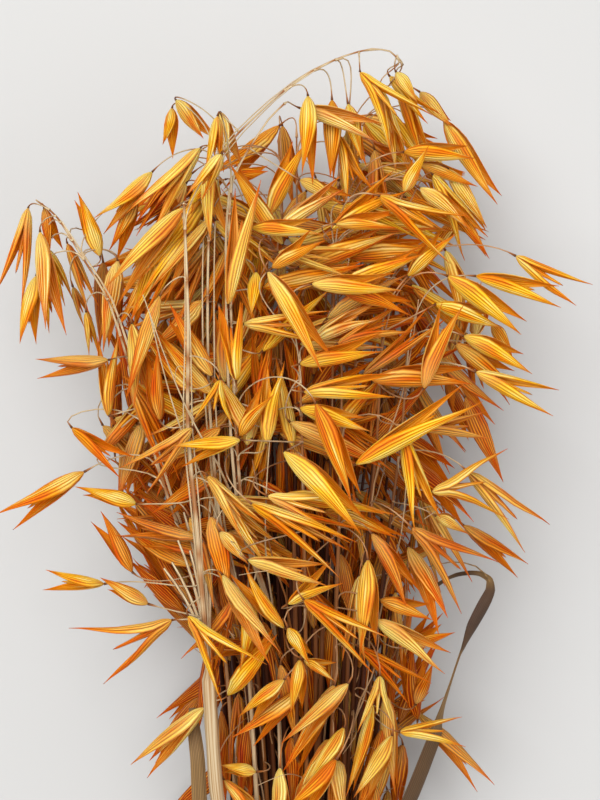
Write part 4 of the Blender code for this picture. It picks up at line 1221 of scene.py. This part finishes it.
def makeLeafPiece(name, leaf):
    place, straight = tieSlots()[leaf["slot"]][1], bundle["tieStraight"]
    low = [bundle["cutEnd"], -60, -straight, straight, 45, leaf["points"][0][1] - 28]
    route = [slotPoint(place, y, (0, 0)) for y in low] + [seen(*spot[:3]) for spot in leaf["points"]]
    looks = [(blade["footWidth"], 0, leaf["worn"])] * len(low) + [spot[3:] for spot in leaf["points"]]
    detailed = smoothPath([np.append(point, look) for point, look in zip(route, looks)], 2)
    rows = len(detailed) - 1
    deselectAll()
    bpy.ops.mesh.primitive_grid_add(x_subdivisions=blade["columns"], y_subdivisions=rows, size=2)
    made = bpy.context.object
    across = at(1, 0, 0)
    sides = []
    for index in range(rows + 1):
        tangent = unit(detailed[min(index + 1, rows)][:3] - detailed[max(index - 1, 0)][:3])
        across = unit(across - tangent * np.dot(across, tangent))
        up = np.cross(tangent, across)
        roll = radians(-detailed[index][4])
        sides.append((swing(across, -up, roll), swing(up, across, roll)))
    worn = []
    for vert in made.data.vertices:
        row = round((vert.co.y + 1) / 2 * rows)
        worn.append(min(1, max(0, detailed[row][5])))
        share, (wide, up) = vert.co.x, sides[row]
        half = max(detailed[row][3], blade["leastWidth"])
        dip = leaf["hollow"] * half * (share * share - 0.5)
        vert.co = Vector((detailed[row][:3] + wide * share * half + up * dip) * mm)
    setAttribute(made.data, "pale", worn)
    giveSkin(made, blade["skin"], 0)
    startEdit()
    faceOutwards()
    smoothFaces()
    if "strand" in leaf:
        spots = [(seen(*spot) * mm, 0.22 - 0.015 * number) for number, spot in enumerate(leaf["strand"])]
        thin = curveObject(name + "_strand", [spots], 1)
        setAttribute(thin.data, "pale", 1)
        thin.data.uv_layers[0].name = made.data.uv_layers[0].name
        joinAll([made, thin], made.name)
    made.name = name + "_blade"
    made.data.materials.append(leafMaterial)
    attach(made, "root")
    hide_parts(name)


for name, leaf in leaves.items():
    makeLeafPiece(name, leaf)
print("leaves")


# the tie: twine of two twisted strands, wound five times, with a knot and two short tails, in mm

twine = {
    "radius": 1.1, "strand": 0.62, "apart": 0.5, "inner": 10.6, "turns": 5, "stepsRound": 28,
    "packing": 0.86, "pitchOfTwist": 5, "tail": 20, "slant": 0.75, "arch": 2.2, "droop": 1.5,
    "knot": 2.3, "knotSteps": 18, "knotLift": 0.6,
}


def strandPair(path):
    # two strands that turn round the path
    path = smoothPath(path, 0.8)
    tangents = unitRows(np.gradient(path, axis=0))
    lengths = np.concatenate(([0], np.cumsum(norm(np.diff(path, axis=0), axis=1))))
    across = unit(np.cross(tangents[0], at(0.3, 1, 0.2)))
    pair = [[], []]
    for point, tangent, length in zip(path, tangents, lengths):
        across = unit(across - tangent * np.dot(across, tangent))
        other = np.cross(tangent, across)
        for which in (0, 1):
            turn = 2 * pi * length / twine["pitchOfTwist"] + pi * which
            place = (point + swing(across, other, turn) * twine["apart"]) * mm
            # it lies on the surface and not below it
            place[2] = max(place[2], twine["strand"] * mm)
            pair[which].append((place, twine["strand"]))
    return pair


def makeTie():
    reach, lift = twine["inner"] + twine["radius"], twine["knotLift"]
    loops = []
    for step in range(twine["turns"] * twine["stepsRound"] + 1):
        turn = 2 * pi * step / twine["stepsRound"] + pi / 2
        y = (step / twine["stepsRound"] - twine["turns"] / 2) * 2 * twine["radius"] * twine["packing"]
        loops.append(at(0, 0, bundle["tieHeight"]) + at(cos(turn) * reach, y, sin(turn) * reach))
    top = bundle["tieHeight"] + reach + twine["radius"] + lift
    turns = [2 * pi * step / twine["knotSteps"] for step in range(twine["knotSteps"] + 1)]
    knot = [at(cos(turn) * twine["knot"], sin(turn) * twine["knot"], top + lift * sin(2 * turn))
        for turn in turns]
    splines = strandPair(loops) + strandPair(knot)
    for side in (-1, 1):
        tail = []
        for share in np.arange(7) / 6:
            x = side * twine["tail"] * share
            rise = top + twine["arch"] * sin(pi * share)
            tail.append(at(x, -x * twine["slant"] - share, rise - twine["droop"] * share))
        splines += strandPair(tail)
    made = curveObject("twine_tie", splines, 1)
    made.data.materials.append(twineMaterial)
    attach(made, "root")
    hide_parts("tie")


makeTie()
print("tie")

deselectAll()
